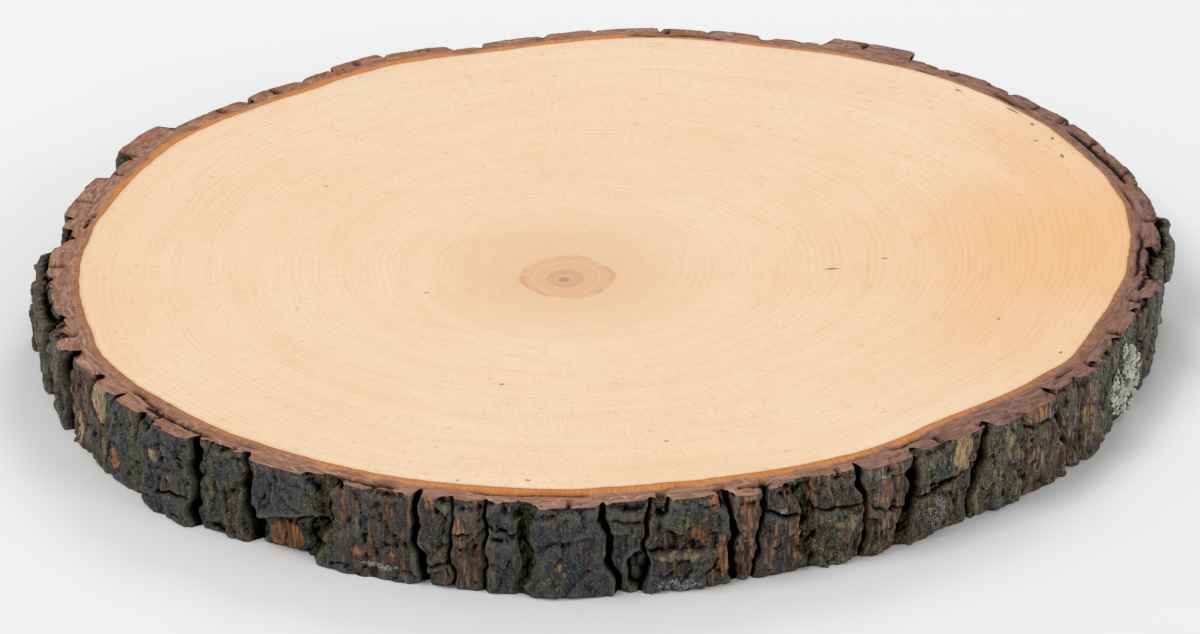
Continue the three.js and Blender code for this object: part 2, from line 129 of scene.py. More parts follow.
# Chips, hollows, growths, stains and painted glints on the plates: angle, height, half width and half
# height, lift (negative is a hollow), then how orange, how ochre, how pale and how mossy the spot is; the
# pale spots are pale crust and painted glint.
PATCHES = [
    (206.8, 12.0, 3.0, 5.0, 0.3, 0.0, 0.2, 0.4, 0.0),
    (207.6, 7.0, 3.5, 6.0, -0.4, 0.1, 1.0, 0.0, 0.0),
    (214.0, 25.5, 4.5, 8.0, 0.8, 0.1, 1.0, 0.0, 0.0),
    (216.0, 8.5, 2.4, 4.0, 0.3, 1.0, 0.1, 0.0, 0.0),
    (219.7, 14.0, 4.0, 11.0, -0.4, 0.0, 0.2, 0.0, 0.8),
    (223.0, 20.0, 2.5, 3.0, 0.2, 0.0, 0.7, 0.0, 0.0),
    (225.4, 14.0, 2.0, 2.6, 0.2, 0.0, 0.6, 0.2, 0.0),
    (229.8, 21.0, 2.2, 6.0, 1.0, 0.0, 0.1, 0.0, 0.3),
    (231.3, 2.8, 5.0, 1.8, -1.5, 0.5, 0.2, 0.0, 0.0),
    (234.4, 7.0, 4.0, 6.5, -2.0, 0.1, 0.0, 0.0, 0.1),
    (237.8, 5.0, 6.0, 5.5, -0.5, 1.0, 0.1, 0.0, 0.0),
    (242.3, 14.0, 6.0, 14.0, -0.6, 0.0, 0.1, 0.0, 0.9),
    (247.5, 8.0, 7.0, 6.5, -0.8, 0.42, 0.1, 0.1, 0.0),
    (248.2, 4.5, 8.0, 0.9, 0.2, 0.0, 0.0, 0.9, 0.0),
    (253.2, 30.0, 1.8, 3.5, 0.3, 0.9, 0.1, 0.0, 0.0),
    (254.4, 4.2, 4.5, 4.0, 1.2, 0.0, 0.1, 0.1, 0.1),
    (256.2, 22.0, 2.6, 4.0, -0.6, 0.8, 0.2, 0.0, 0.0),
    (266.0, 24.0, 7.0, 5.0, 0.8, 0.0, 0.1, 0.1, 0.0),
    (264.5, 8.0, 5.0, 6.0, 0.6, 0.1, 0.1, 0.1, 0.1),
    (272.5, 8.0, 3.5, 6.5, -3.0, 0.0, 0.0, 0.0, 0.2),
    (280.0, 29.0, 3.0, 3.5, -0.8, 0.9, 0.3, 0.0, 0.0),
    (276.2, 12.6, 8.0, 1.8, 0.9, 0.25, 0.5, 0.0, 0.1),
    (276.2, 2.5, 7.0, 2.2, 0.2, 0.0, 0.0, 0.6, 0.0),
    (278.5, 20.0, 4.0, 5.0, -0.4, 0.45, 0.1, 0.0, 0.0),
    (280.6, 10.0, 3.0, 8.0, -0.5, 0.65, 0.1, 0.0, 0.0),
    (283.2, 25.0, 3.0, 8.0, 0.6, 0.55, 0.1, 0.0, 0.0),
    (288.2, 9.0, 1.6, 8.0, 0.3, 0.6, 0.1, 0.0, 0.0),
    (286.5, 21.5, 4.0, 1.4, -0.4, 0.0, 0.0, 0.8, 0.0),
    (289.8, 23.0, 1.8, 8.0, 0.3, 0.6, 0.1, 0.0, 0.0),
    (293.2, 14.0, 4.0, 7.0, 0.2, 0.0, 0.3, 0.1, 0.5),
    (298.0, 27.0, 7.0, 0.8, 0.2, 0.0, 0.0, 0.7, 0.0),
    (298.0, 22.0, 6.0, 6.0, 0.6, 0.5, 0.0, 0.1, 0.0),
    (297.0, 2.0, 3.5, 2.4, 0.2, 0.0, 0.1, 0.0, 1.0),
    (304.4, 8.0, 6.0, 5.5, 0.9, 0.2, 0.3, 0.5, 0.0),
    (307.5, 25.0, 4.5, 6.5, 0.4, 0.3, 0.9, 0.0, 0.1),
    (305.0, 17.0, 6.0, 1.2, -1.5, 0.5, 0.2, 0.0, 0.0),
    (312.5, 18.0, 7.0, 11.0, 0.3, 0.0, 0.4, 0.0, 0.7),
    (317.5, 29.0, 6.0, 4.0, 0.2, 0.9, 0.6, 0.0, 0.0),
    (318.0, 12.0, 5.0, 7.0, 0.3, 0.2, 0.4, 0.0, 0.3),
    (323.5, 3.0, 3.0, 3.0, -0.8, 1.0, 0.1, 0.0, 0.0),
    (327.2, 17.0, 4.5, 12.0, 0.2, 0.5, 0.5, 0.0, 0.0),
    (332.0, 16.0, 4.5, 11.0, 0.2, 0.0, 0.3, 0.2, 0.8),
    (338.0, 13.0, 14.0, 12.0, 0.0, 0.0, 0.1, 0.2, 0.6),
    (347.0, 12.0, 6.0, 6.0, -0.8, 0.4, 0.1, 0.1, 0.1),
    (185.0, 22.0, 6.0, 5.0, -0.8, 0.4, 0.2, 0.1, 0.0),
    (193.5, 10.0, 5.0, 6.0, 0.6, 0.0, 0.2, 0.1, 0.5),
    (201.5, 20.0, 4.0, 6.0, -0.6, 0.2, 0.5, 0.0, 0.3),
    (206.0, 30.0, 3.0, 6.0, -2.8, 0.0, 0.0, 0.0, 0.2),
    (221.8, 30.0, 3.5, 3.5, -2.2, 0.0, 0.0, 0.0, 0.2),
    (230.5, 30.0, 5.0, 1.8, -1.4, 0.0, 0.2, 0.0, 0.0),
    (242.5, 30.0, 7.0, 5.0, -2.5, 0.0, 0.0, 0.0, 0.5),
    (249.0, 30.0, 5.0, 1.8, -1.4, 0.1, 0.0, 0.0, 0.0),
    (256.6, 30.0, 9.0, 2.6, -2.2, 0.2, 0.1, 0.0, 0.0),
    (261.6, 30.0, 6.0, 5.0, -2.5, 0.0, 0.0, 0.0, 0.4),
    (266.5, 30.0, 8.0, 1.5, -1.2, 0.0, 0.0, 0.0, 0.0),
    (271.8, 30.0, 6.0, 3.0, -2.2, 0.0, 0.0, 0.0, 0.2),
    (274.8, 30.0, 3.0, 5.0, -2.8, 0.0, 0.0, 0.0, 0.0),
    (278.0, 30.0, 7.0, 1.4, -1.1, 0.4, 0.1, 0.0, 0.0),
    (281.0, 30.0, 3.0, 5.0, -2.8, 0.0, 0.0, 0.0, 0.0),
    (289.3, 30.0, 7.0, 6.0, -2.2, 0.0, 0.0, 0.0, 0.5),
    (293.5, 30.0, 6.0, 2.2, -1.7, 0.1, 0.1, 0.0, 0.1),
    (304.0, 30.0, 8.0, 1.6, -1.2, 0.1, 0.3, 0.0, 0.1),
    (323.5, 30.0, 6.0, 2.0, -1.4, 0.1, 0.1, 0.0, 0.1),
    (333.0, 30.0, 9.0, 2.0, -1.4, 0.0, 0.1, 0.0, 0.2),
    (344.0, 30.0, 6.0, 3.0, -1.9, 0.0, 0.1, 0.0, 0.1),
    (357.5, 30.0, 24.0, 3.6, -5.0, 0.0, 0.0, 0.1, 0.0),
    (191.0, 30.0, 34.0, 4.2, -5.0, 0.0, 0.1, 0.1, 0.3),
    (179.0, 30.0, 6.0, 5.0, -3.5, 0.1, 0.0, 0.0, 0.1),
]

# Slits that run in from the edge across the cut bark: angle, length and half width.
SLITS = [
    (222.0, 6.0, 0.8), (232.0, 5.0, 0.6), (247.5, 4.0, 0.6), (266.0, 5.0, 0.6), (274.8, 7.0, 1.3),
    (280.8, 7.0, 1.1), (285.1, 9.0, 0.8), (293.0, 4.0, 0.6), (305.5, 5.0, 0.7), (329.3, 9.0, 0.9),
    (337.2, 7.0, 1.1), (345.2, 7.0, 1.0), (353.0, 6.0, 0.8), (358.9, 7.0, 1.1), (5.2, 7.0, 1.2),
    (17.0, 5.0, 0.7), (36.0, 4.0, 0.7), (170.0, 6.0, 0.7), (186.0, 6.0, 0.8), (202.0, 5.0, 0.8),
    (25.2, 4.0, 0.9), (31.7, 5.0, 0.8), (48.3, 4.0, 0.8), (60.5, 4.0, 0.7), (83.3, 4.0, 0.8),
    (121.5, 4.0, 0.7), (133.7, 5.0, 0.9), (142.0, 4.0, 0.9), (157.2, 6.0, 1.2), (162.2, 5.0, 1.0),
]

# Joints where the outer plates have parted from the cork behind them: from and to, and depth of bark.
JOINTS = [
    (218.5, 229.5, 5.6), (242.0, 250.0, 6.0), (282.0, 287.0, 7.0), (347.0, 352.0, 6.5), (14.0, 30.0, 5.5),
]

# The grid: columns stand closer on the plates at the front, between those angles; two steps in from a
# plate's rims and one in from a fissure's walls are set apart. Several columns share a spoke of wood.
FRONT_FROM, FRONT_TO = 183.0, 357.0
FRONT_SPACING = 0.70
BACK_SPACING = 1.2
RIM_STEPS = (0.3, 0.75)
FISSURE_SPACING = 0.65
WALL_WIDTH = 0.5
COLUMNS_PER_SPOKE = 5
TOP_STEPS = 11


def scattered(cell, seed):
    """A number from -1 to 1 for a lattice cell: its three whole numbers and a seed, hashed."""
    cell = cell.astype(np.uint64)
    mix = cell[..., 0] * np.uint64(73856093) ^ cell[..., 1] * np.uint64(19349663)
    mix = mix ^ cell[..., 2] * np.uint64(83492791) ^ np.uint64(seed * 2654435761)
    mix = (mix ^ (mix >> np.uint64(13))) * np.uint64(1274126177)
    mix = mix ^ (mix >> np.uint64(16))
    mix = (mix * np.uint64(2246822519)) ^ (mix >> np.uint64(15))
    return (mix & np.uint64(0xFFFFFF)).astype(float) / 0x7FFFFF - 1


def noise(points, size, seed):
    """Value noise from -1 to 1. Every whole-number corner of a lattice of that size (one number,
    or one for each axis) holds a scattered number; between corners they are eased together."""
    place = points / np.asarray(size, float)
    base = np.floor(place).astype(np.int64)
    ease = place - base
    ease = ease * ease * (3 - 2 * ease)
    total = np.zeros(points.shape[:-1])
    for corner in itertools.product((0, 1), repeat=3):
        weight = np.prod(np.where(corner, ease, 1 - ease), axis=-1)
        total += weight * scattered(base + corner, seed)
    return total


def scales(points, size, seed):
    """Broken scales: space falls into cells, each round a scattered middle. A cell has its own level
    and its own slope, both from -1 to 1. Returns that height and the distance to the cell's border."""
    place = points / np.asarray(size, float)
    base = np.floor(place).astype(np.int64)
    nearest = np.full(points.shape[:-1], np.inf)
    second = nearest.copy()
    height = np.zeros_like(nearest)
    for corner in itertools.product((-1, 0, 1), repeat=3):
        cell = base + corner
        jitter = np.stack([scattered(cell, seed + k) for k in (1, 2, 3)], axis=-1)
        offset = place - (cell + 0.5 + 0.42 * jitter)
        away = np.linalg.norm(offset, axis=-1)
        slope = np.stack([scattered(cell, seed + k) for k in (4, 5, 6)], axis=-1)
        level = 0.6 * scattered(cell, seed + 7) + 0.7 * (slope * offset).sum(axis=-1)
        closer = away < nearest
        second = np.where(closer, nearest, np.minimum(second, away))
        height = np.where(closer, level, height)
        nearest = np.where(closer, away, nearest)
    return height, second - nearest


def layered_noise(points, size, seed, layers=3):
    """Several noises added up, each half the size and half the strength of the one before."""
    size = np.asarray(size, float)
    parts = [noise(points, size / 2**k, seed + 17 * k) / 2**k for k in range(layers)]
    return sum(parts) / (2 - 2.0 ** (1 - layers))


def smooth_step(low, high, value):
    """0 below low, 1 above high, eased between."""
    t = np.clip((value - low) / (high - low), 0, 1)
    return t * t * (3 - 2 * t)


def wood_radius(angle):
    """Closed Catmull-Rom curve through the listed radii, with small waves and nicks added."""
    place = (angle % 360) / (360 / len(WOOD_RADII))
    first = np.floor(place).astype(int)
    t = place - first
    a, b, c, d = (WOOD_RADII[(first + k) % len(WOOD_RADII)] for k in (-1, 0, 1, 2))
    square = 2 * a - 5 * b + 4 * c - d
    cube = -a + 3 * b - 3 * c + d
    spot = np.stack([angle % 360, np.zeros_like(t), np.zeros_like(t)], axis=-1)
    uneven_edge = 0.45 * noise(spot, 4.5, 141) + 0.15 * noise(spot, 1.1, 142)
    seam = np.minimum(np.minimum(angle % 360, 360 - angle % 360), 1.0)
    return b + 0.5 * t * (c - a + t * (square + t * cube)) + uneven_edge * seam


def on_trunk(angle, radius, z):
    """Points at an angle and radius about the trunk's centre, in millimetres."""
    turn = np.radians(angle)
    x = TRUNK_CENTRE[0] + radius * np.cos(turn)
    y = TRUNK_CENTRE[1] + radius * np.sin(turn)
    return np.stack(np.broadcast_arrays(x, y, z), axis=-1)


def round_bark(turn):
    """Millimetres along the bark for a turn in degrees, the short way round."""
    return np.radians((turn + 180) % 360 - 180) * MEAN_BARK


def fissure_rims(index, z):
    """Angles of a fissure's two rims at heights z: it leans from its angle at the underside to the
    one at the top, wanders, and each rim strays on its own so that the width changes."""
    top, foot, gap = PLATES[index, [TOP_ANGLE, FOOT_ANGLE, GAP]]
    line = np.stack([np.full_like(z, 40.0 * index), np.zeros_like(z), z], axis=-1)
    bends = 0.16 + 0.07 * (index * 7 % 5)
    middle = foot + (top - foot) * z / THICKNESS + 0.2 * np.sin(bends * z + 1.7 * top)
    middle = middle + 0.3 * noise(line, 5.0, 3) + 0.12 * noise(line, 1.8, 5)
    half = np.degrees(gap / 2 / MEAN_BARK)
    calm = 1 - 0.85 * smooth_step(25, 29, z)
    left = middle - half * (1 + calm * (0.45 * noise(line, 4.0, 7) + 0.3 * noise(line, 1.5, 8)))
    right = middle + half * (1 + calm * (0.45 * noise(line, 4.0, 9) + 0.3 * noise(line, 1.5, 10)))
    return left, right


# Columns: for each, the plate it is on, its share of the way across, and whether it is in a fissure.
plate_of, share_of, in_fissure = [], [], []
next_top = np.append(PLATES[1:, TOP_ANGLE], PLATES[0, TOP_ANGLE] + 360)
for index in range(len(PLATES)):
    top, gap = PLATES[index, TOP_ANGLE], PLATES[index, GAP]
    wall = min(0.3, WALL_WIDTH / gap)
    floor_steps = np.linspace(wall, 1 - wall, max(3, round(gap / FISSURE_SPACING)))
    plate_of += [index] * len(floor_steps)
    share_of += list(floor_steps)
    in_fissure += [True] * len(floor_steps)
    middle_angle = (top + next_top[index]) / 2 % 360
    spacing = FRONT_SPACING if FRONT_FROM < middle_angle < FRONT_TO else BACK_SPACING
    span = math.radians(next_top[index] - top) * MEAN_BARK - gap
    inner = span - 2 * RIM_STEPS[-1]
    count = max(3, round(inner / spacing))
    steps = np.concatenate([
        [0, RIM_STEPS[0]],
        RIM_STEPS[1] + inner * np.linspace(0, 1, count + 1),
        [span - RIM_STEPS[0], span],
    ]) / span
    plate_of += [index] * len(steps)
    share_of += list(steps)
    in_fissure += [False] * len(steps)
spare = -len(plate_of) % COLUMNS_PER_SPOKE
plate_of += [len(PLATES) - 1] * spare
share_of += list(1 + np.arange(1, spare + 1) * 1e-3)
in_fissure += [False] * spare
plate_of = np.array(plate_of)[:, None]
share_of = np.array(share_of)[:, None]
in_fissure = np.array(in_fissure)[:, None]
columns = len(plate_of)

# Rows up the side: close together at both sawn edges, with one row drawn onto each cross crack.
side_rows = np.concatenate([[0, 0.5, 1.2], np.linspace(2.1, 27.9, 30), [28.8, 29.5, 30]])
crack = PLATES[plate_of, CRACK]
line = np.stack([share_of * 14, plate_of * 31.0, np.zeros_like(share_of)], axis=-1)
tilted = 5 * np.sin(2.4 * PLATES[plate_of, TOP_ANGLE]) * (share_of - 0.5)
crack_z = crack + tilted + 1.2 * noise(line, 3.0, 21)
crack_z = np.clip(crack_z + 0.5 * noise(line, 1.1, 22), 3, THICKNESS - 3)
crack_row = np.argmin(np.abs(side_rows[None, :] - np.maximum(crack, 1)), axis=1)[:, None]
row_number = np.arange(len(side_rows))[None, :]
steps_below = np.maximum(crack_row, 1)
shift = np.where(
    row_number <= crack_row,
    side_rows[None, :] / side_rows[steps_below] * crack_z,
    THICKNESS
    - (THICKNESS - side_rows[None, :]) / (THICKNESS - side_rows[crack_row]) * (THICKNESS - crack_z),
)
z = np.where((crack > 0) & ~in_fissure, shift, side_rows[None, :])

# Angle and bark thickness of every grid point. A plate is thinner towards its rims; low and high
# parts meet at the cross crack; a fissure is cut down from the plates on either side of it.
rim_here = [fissure_rims(k, side_rows) for k in range(len(PLATES))]


def rim_angle(index, side, z):
    """One rim of every column's fissure at its own heights, read off that fissure's line."""
    found = np.empty(np.broadcast_shapes(index.shape, z.shape))
    for k in np.unique(index):
        rows = index[:, 0] == k
        found[rows] = np.interp(z[rows], side_rows, rim_here[k][side])
    return found


last_plate = (plate_of - 1) % len(PLATES)
next_plate = (plate_of + 1) % len(PLATES)
wrap = np.where(plate_of == len(PLATES) - 1, 360, 0)
left, right = rim_angle(plate_of, 0, z), rim_angle(plate_of, 1, z)
next_left = rim_angle(next_plate, 0, z) + wrap
angle = np.where(in_fissure, left + (right - left) * share_of, right + (next_left - right) * share_of)

low, high = PLATES[plate_of, LOW_BARK], PLATES[plate_of, HIGH_BARK]
half_way = np.where(crack > 0, crack_z, THICKNESS / 2)
plate_body = low + (high - low) * smooth_step(half_way - 2, half_way + 2, z)
last_body = np.where(z < THICKNESS / 2, PLATES[last_plate, LOW_BARK], PLATES[last_plate, HIGH_BARK])
between = np.where(in_fissure, share_of, 1)
body = last_body + (plate_body - last_body) * between

# The plates' broken faces: flakes in stepped layers, scales large and small, facets, ribs and fibres.
place = on_trunk(angle, MEAN_BARK, z)
warped = place + 1.2 * np.stack([layered_noise(place, 6, s, 2) for s in (31, 32, 33)], axis=-1)
layer = 1.6 * layered_noise(warped, (7, 7, 14), 41) + 0.6 * noise(place, 30, 42)
flakes = np.floor(layer) + smooth_step(0.42, 0.5, layer - np.floor(layer))
big_scales, big_border = scales(warped, (9, 9, 15), 201)
small_scales = scales(warped, (3.4, 3.4, 6.5), 211)[0]
lumps = layered_noise(place, (3.6, 3.6, 4.2), 51, 3)
fibres = layered_noise(place, (1.5, 1.5, 9), 61, 2)
at_top = smooth_step(THICKNESS - 2, THICKNESS, z)
ribs = layered_noise(warped, (3.2, 3.2, 24), 63, 2)
facets, facet_border = scales(warped, (5.5, 5.5, 11), 221)
fibrous = 0.2 + 1.1 * PLATES[plate_of, RUST]
dented = 1 - 0.5 * smooth_step(0.7, 1.0, PLATES[plate_of, SLATE])
fine_broken = 0.3 * small_scales + 0.15 * lumps + (0.2 * fibres + 0.5 * ribs) * fibrous
broken = (0.4 * flakes + 1.0 * big_scales + 0.75 * facets) * dented * (1 - 0.6 * at_top)
broken = broken + fine_broken * (1 - 0.9 * at_top)
grooves = 0.6 * smooth_step(0.06, 0.0, big_border) + 0.3 * smooth_step(0.05, 0.0, facet_border)
broken = broken - grooves * (1 - at_top)

# The plates round off at their rims; the fissures between them are cut down, less so at both faces.
across = np.where(in_fissure, 0, np.radians(next_left - right) * MEAN_BARK)
to_rim = np.minimum(share_of, 1 - share_of) * across
rim_round = 0.55 * np.exp(-np.maximum(to_rim, 0) / 0.6) + 0.3 * np.exp(-np.maximum(to_rim, 0) / 2.5)
gap_here = PLATES[plate_of, GAP]
to_wall = np.minimum(share_of, 1 - share_of) * gap_here
cut_down = 0.7 + 0.3 * smooth_step(WALL_WIDTH, 0.3 * gap_here + 0.4, to_wall)
shallower = 0.35 + 0.3 * scattered(np.stack([plate_of] * 3, axis=-1), 72)
depth_here = PLATES[plate_of, DEPTH] * (0.95 + 0.35 * noise(place, (40, 40, 7), 71))
depth_here = depth_here * (1 - shallower * at_top)
depth_here = depth_here * (1 - 0.55 * smooth_step(7, 0, z))
depth_here = np.minimum(depth_here, np.where(z > 24, np.maximum(body - 5.5, 1.5), depth_here))
wide = smooth_step(3.2, 5.5, gap_here)
hollow_floor = depth_here * cut_down * (1 - 0.25 * wide) - (0.5 + 0.6 * wide) * broken
relief = np.where(in_fissure, -hollow_floor, broken - rim_round)

# The cross crack: a narrow trough along the row that was drawn onto it.
near_crack = np.exp(-(((z - crack_z) / 0.55) ** 2)) * (crack > 0) * ~in_fissure
crack_strength = np.maximum(1.5 + 1.7 * noise(place, 9, 73), 0)
relief = relief - crack_strength * near_crack

# Short extra cracks: thin troughs where a noise field stretched sideways crosses zero.
split = np.abs(layered_noise(warped, (11, 11, 5), 81, 2))
short_crack = smooth_step(0.045, 0.0, split) * smooth_step(0.0, 0.4, noise(place, 14, 82)) * ~in_fissure
relief = relief - 1.1 * short_crack

# Patches: ovals with ragged edges.
stain = np.zeros(z.shape + (4,))
ragged = layered_noise(place, 3.2, 91)
for patch_angle, patch_z, half_width, half_height, lift, *colours in PATCHES:
    sideways = round_bark(angle - patch_angle) / half_width
    up = (z - patch_z) / half_height
    inside = smooth_step(1.12, 0.82, np.hypot(sideways, up) + 0.38 * ragged)
    relief = relief + lift * inside * ~in_fissure
    for k, strength in enumerate(colours):
        stain[..., k] = np.maximum(stain[..., k], strength * inside)

# Sawn edges: the saw broke crumbs off the bark, more at some places than at others.
to_saw = np.minimum(z, THICKNESS - z)
crumb = 0.3 + 0.7 * np.maximum(noise(place, (9, 9, 60), 95), 0) + 0.2 * np.maximum(lumps, 0) * (1 - at_top)
relief = relief - 1.5 * crumb * (1 - np.minimum(to_saw / (0.8 + 1.4 * crumb), 1)) ** 2
bark = np.maximum(body + relief, 1.2)
first_column = np.searchsorted(plate_of[:, 0] * 2 + ~in_fissure[:, 0], np.arange(len(PLATES)) * 2 + 1)
last_column = np.append(np.searchsorted(plate_of[:, 0], np.arange(1, len(PLATES))), columns - spare) - 1
right_rim = bark[first_column[plate_of[:, 0]]]
left_rim = bark[last_column[last_plate[:, 0]]]
bark = np.where(in_fissure, np.minimum(bark, left_rim + (right_rim - left_rim) * share_of - 0.7), bark)
bark = np.maximum(bark, 1.2)


def blurred(grid, reach):
    """Mean of the points up to so many steps away, along and then up the grid."""
    total = sum(np.roll(grid, k, axis=0) for k in range(-reach, reach + 1)) / (2 * reach + 1)
    rows = np.pad(total, ((0, 0), (reach, reach)), mode="edge")
    size = grid.shape[1]
    return sum(rows[:, k : k + size] for k in range(2 * reach + 1)) / (2 * reach + 1)


# Where the bark is hollow, for painted shade there; where it is raised, for a painted highlight on its
# edges; and where it is freshly broken; all for its material to read.
recess_shade = np.clip((blurred(bark, 2) - bark) / 0.9, 0, 1) * 0.5
recess_shade = np.clip(recess_shade + 0.45 * np.clip((blurred(bark, 7) - bark) / 3.0, 0, 1), 0, 1)
# The fissures get painted shade too, less of it in the wide ones.
recess_shade = np.maximum(recess_shade, np.where(in_fissure, cut_down * (0.7 - 0.4 * wide), 0))
fresh = np.clip(0.5 - 0.5 * (0.8 * big_scales + facets + 0.3 * small_scales), 0, 1)
stain[..., 3] = np.maximum(stain[..., 3], 0.9 * wide * in_fissure)
# Raised bark, for a painted highlight on its edges.
raised_highlight = np.clip((bark - blurred(bark, 2)) / 0.7, 0, 1)

# The cut bark on the top face: rows from the outer edge (share 1) in to the wood (share 0). It sinks
# at joints between layers, at hairline cracks and at slits.
top_share = np.linspace(1, 0, TOP_STEPS + 1)[1:][None, :] ** 0.85
top_angle, top_bark = angle[:, -1:], bark[:, -1:]
cut_angle = np.broadcast_to(top_angle, (columns, TOP_STEPS))
cut_depth = top_bark * top_share
cut_place = on_trunk(cut_angle, wood_radius(cut_angle) + cut_depth, THICKNESS)
rough = layered_noise(cut_place, 2.4, 101)
open_joint = smooth_step(0.15, 0.5, noise(cut_place, (16, 16, 50), 103))
joint_depth = 3.3 + 1.3 * noise(cut_place, (9, 9, 50), 104)
joint = open_joint * np.exp(-(((cut_depth - joint_depth) / 0.7) ** 2))
for start, end, depth in JOINTS:
    along = smooth_step(start, start + 2, cut_angle) * smooth_step(end, end - 2, cut_angle)
    joint = np.maximum(joint, 1.3 * along * np.exp(-(((cut_depth - depth - 0.7 * rough) / 0.8) ** 2)))
split_line = np.abs(layered_noise(cut_place, (6, 6, 50), 105, 2))
hairline = smooth_step(0.05, 0.0, split_line) * smooth_step(3.5, 6, cut_depth)
slit = np.zeros_like(cut_depth)
for slit_angle, length, half_width in SLITS:
    sideways = round_bark(cut_angle - slit_angle)
    sideways = sideways + 0.8 * noise(cut_place, 4, 107)
    reach = smooth_step(-1, 1, cut_depth - (top_bark - length))
    slit = np.maximum(slit, reach * np.exp(-((sideways / half_width) ** 2)))
slit = slit * smooth_step(4.2, 6.0, cut_depth)
cut_drop = 0.25 + 0.3 * rough + 1.6 * joint + 0.5 * hairline + 3.0 * slit
cut_drop = np.maximum(cut_drop, 0.05) * smooth_step(0.0, 1.2, cut_depth)
# Painted shade in the joints, hairline cracks and slits of the cut bark.
cut_crack_shade = np.clip(0.9 * joint + 0.55 * hairline + 1.2 * slit, 0, 1)

# Wood: rows are growth rings, from the rim in. Near the pith they are rounder than the rim.
SPOKE_ROWS = 26
spoke = np.arange(0, columns, COLUMNS_PER_SPOKE)
spokes = len(spoke)
ring_share = np.linspace(1, 0, SPOKE_ROWS + 1)[1:-1][None, :]


def wood_points(edge_angle, share, z):
    """Points a share of the way from the pith to the rim, the rim's bumps fading towards the pith."""
    turn = np.radians(edge_angle)
    rim = on_trunk(edge_angle, wood_radius(edge_angle), 0)[..., :2]
    even = TRUNK_CENTRE + MEAN_WOOD * np.stack([np.cos(turn), np.sin(turn)], axis=-1)
    edge = even + (rim - even) * share[..., None] ** 1.5
    flat = PITH + (edge - PITH) * share[..., None]
    return np.concatenate([flat, np.full(flat.shape[:-1] + (1,), z)], axis=-1)


def grown(edge_angle, radius, z):
    """Where a point would be if the trunk had grown perfectly round: rings are circles there."""
    turn = np.radians(edge_angle)
    return np.stack(np.broadcast_arrays(radius * np.cos(turn), radius * np.sin(turn), z), axis=-1)


# Put the rows together: the side from the underside up, the cut bark above and below, the wood above
# and below, and the pith.
points, growth, looks, stains, shade_highlight_break = [], [], [], [], []


def add_rows(place, trunk, look=None, stain_here=None, shade_highlight_break_here=None):
    """Adds a grid of points (columns by rows) and returns their numbers in the mesh."""
    start = sum(len(p) for p in points)
    amount = place.shape[0] * place.shape[1]
    points.append(place.reshape(-1, 3))
    growth.append(trunk.reshape(-1, 3))
    looks.append(np.zeros((amount, 3)) if look is None else look.reshape(-1, 3))
    stains.append(np.zeros((amount, 4)) if stain_here is None else stain_here.reshape(-1, 4))
    shade_highlight_break.append(np.zeros((amount, 3)) if shade_highlight_break_here is None else shade_highlight_break_here.reshape(-1, 3))
    return start + np.arange(amount).reshape(place.shape[:2])


side_look = PLATES[plate_of[:, 0]][:, None, SLATE : MOSS + 1] + np.zeros(z.shape + (1,))
side = add_rows(
    on_trunk(angle, wood_radius(angle) + bark, z),
    grown(angle, ROUND_WOOD + bark, z),
    side_look,
    stain,
    np.stack([recess_shade, raised_highlight, fresh], axis=-1),
)
cut_shade_marks = np.stack([cut_crack_shade, np.zeros_like(cut_crack_shade), np.zeros_like(cut_crack_shade)], axis=-1)
top_cut = add_rows(
    on_trunk(cut_angle, wood_radius(cut_angle) + cut_depth, THICKNESS - cut_drop),
    grown(cut_angle, ROUND_WOOD + cut_depth, THICKNESS),
    np.broadcast_to(side_look[:, -1:], (columns, TOP_STEPS, 3)),
    None,
    cut_shade_marks,
)
low_angle = angle[:, :1]
low_cut = add_rows(
    on_trunk(low_angle, wood_radius(low_angle) + bark[:, :1] * np.array([[0.5, 0.0]]), 0),
    grown(low_angle, ROUND_WOOD + bark[:, :1] * np.array([[0.5, 0.0]]), 0),
)
spoke_angle = angle[spoke][:, -1:]
top_wood = add_rows(
    wood_points(np.repeat(spoke_angle, ring_share.size, 1), np.repeat(ring_share, spokes, 0), THICKNESS),
    grown(spoke_angle, ROUND_WOOD * ring_share, THICKNESS),
)
low_spoke = angle[spoke][:, :1]
low_wood = add_rows(
    wood_points(np.repeat(low_spoke, ring_share.size, 1), np.repeat(ring_share, spokes, 0), 0),
    grown(low_spoke, ROUND_WOOD * ring_share, 0),
)
pith_point = np.append(PITH, THICKNESS)[None, None, :]
top_pith = add_rows(pith_point, np.array([[[0, 0, THICKNESS]]], float))[0, 0]
low_pith = add_rows(pith_point * [1, 1, 0], np.zeros((1, 1, 3)))[0, 0]


def quads(rows):
    """Quads between neighbouring rows of a grid whose columns close up in a ring."""
    after = np.roll(rows, -1, axis=0)
    return np.stack([rows[:, :-1], after[:, :-1], after[:, 1:], rows[:, 1:]], axis=-1).reshape(-1, 4)


def spoke_strip(fine, coarse):
    """Polygons from each stretch of the fine ring to the matching side of the coarse ring."""
    stretch = np.arange(0, columns, COLUMNS_PER_SPOKE)[:, None] + np.arange(COLUMNS_PER_SPOKE + 1)
    outer = fine[stretch % columns]
    return np.concatenate([outer, np.roll(coarse, -1)[:, None], coarse[:, None]], axis=1)


def fan(ring, centre):
    """Triangles from a ring in to one point."""
    return np.stack([ring, np.roll(ring, -1), np.full_like(ring, centre)], axis=-1)


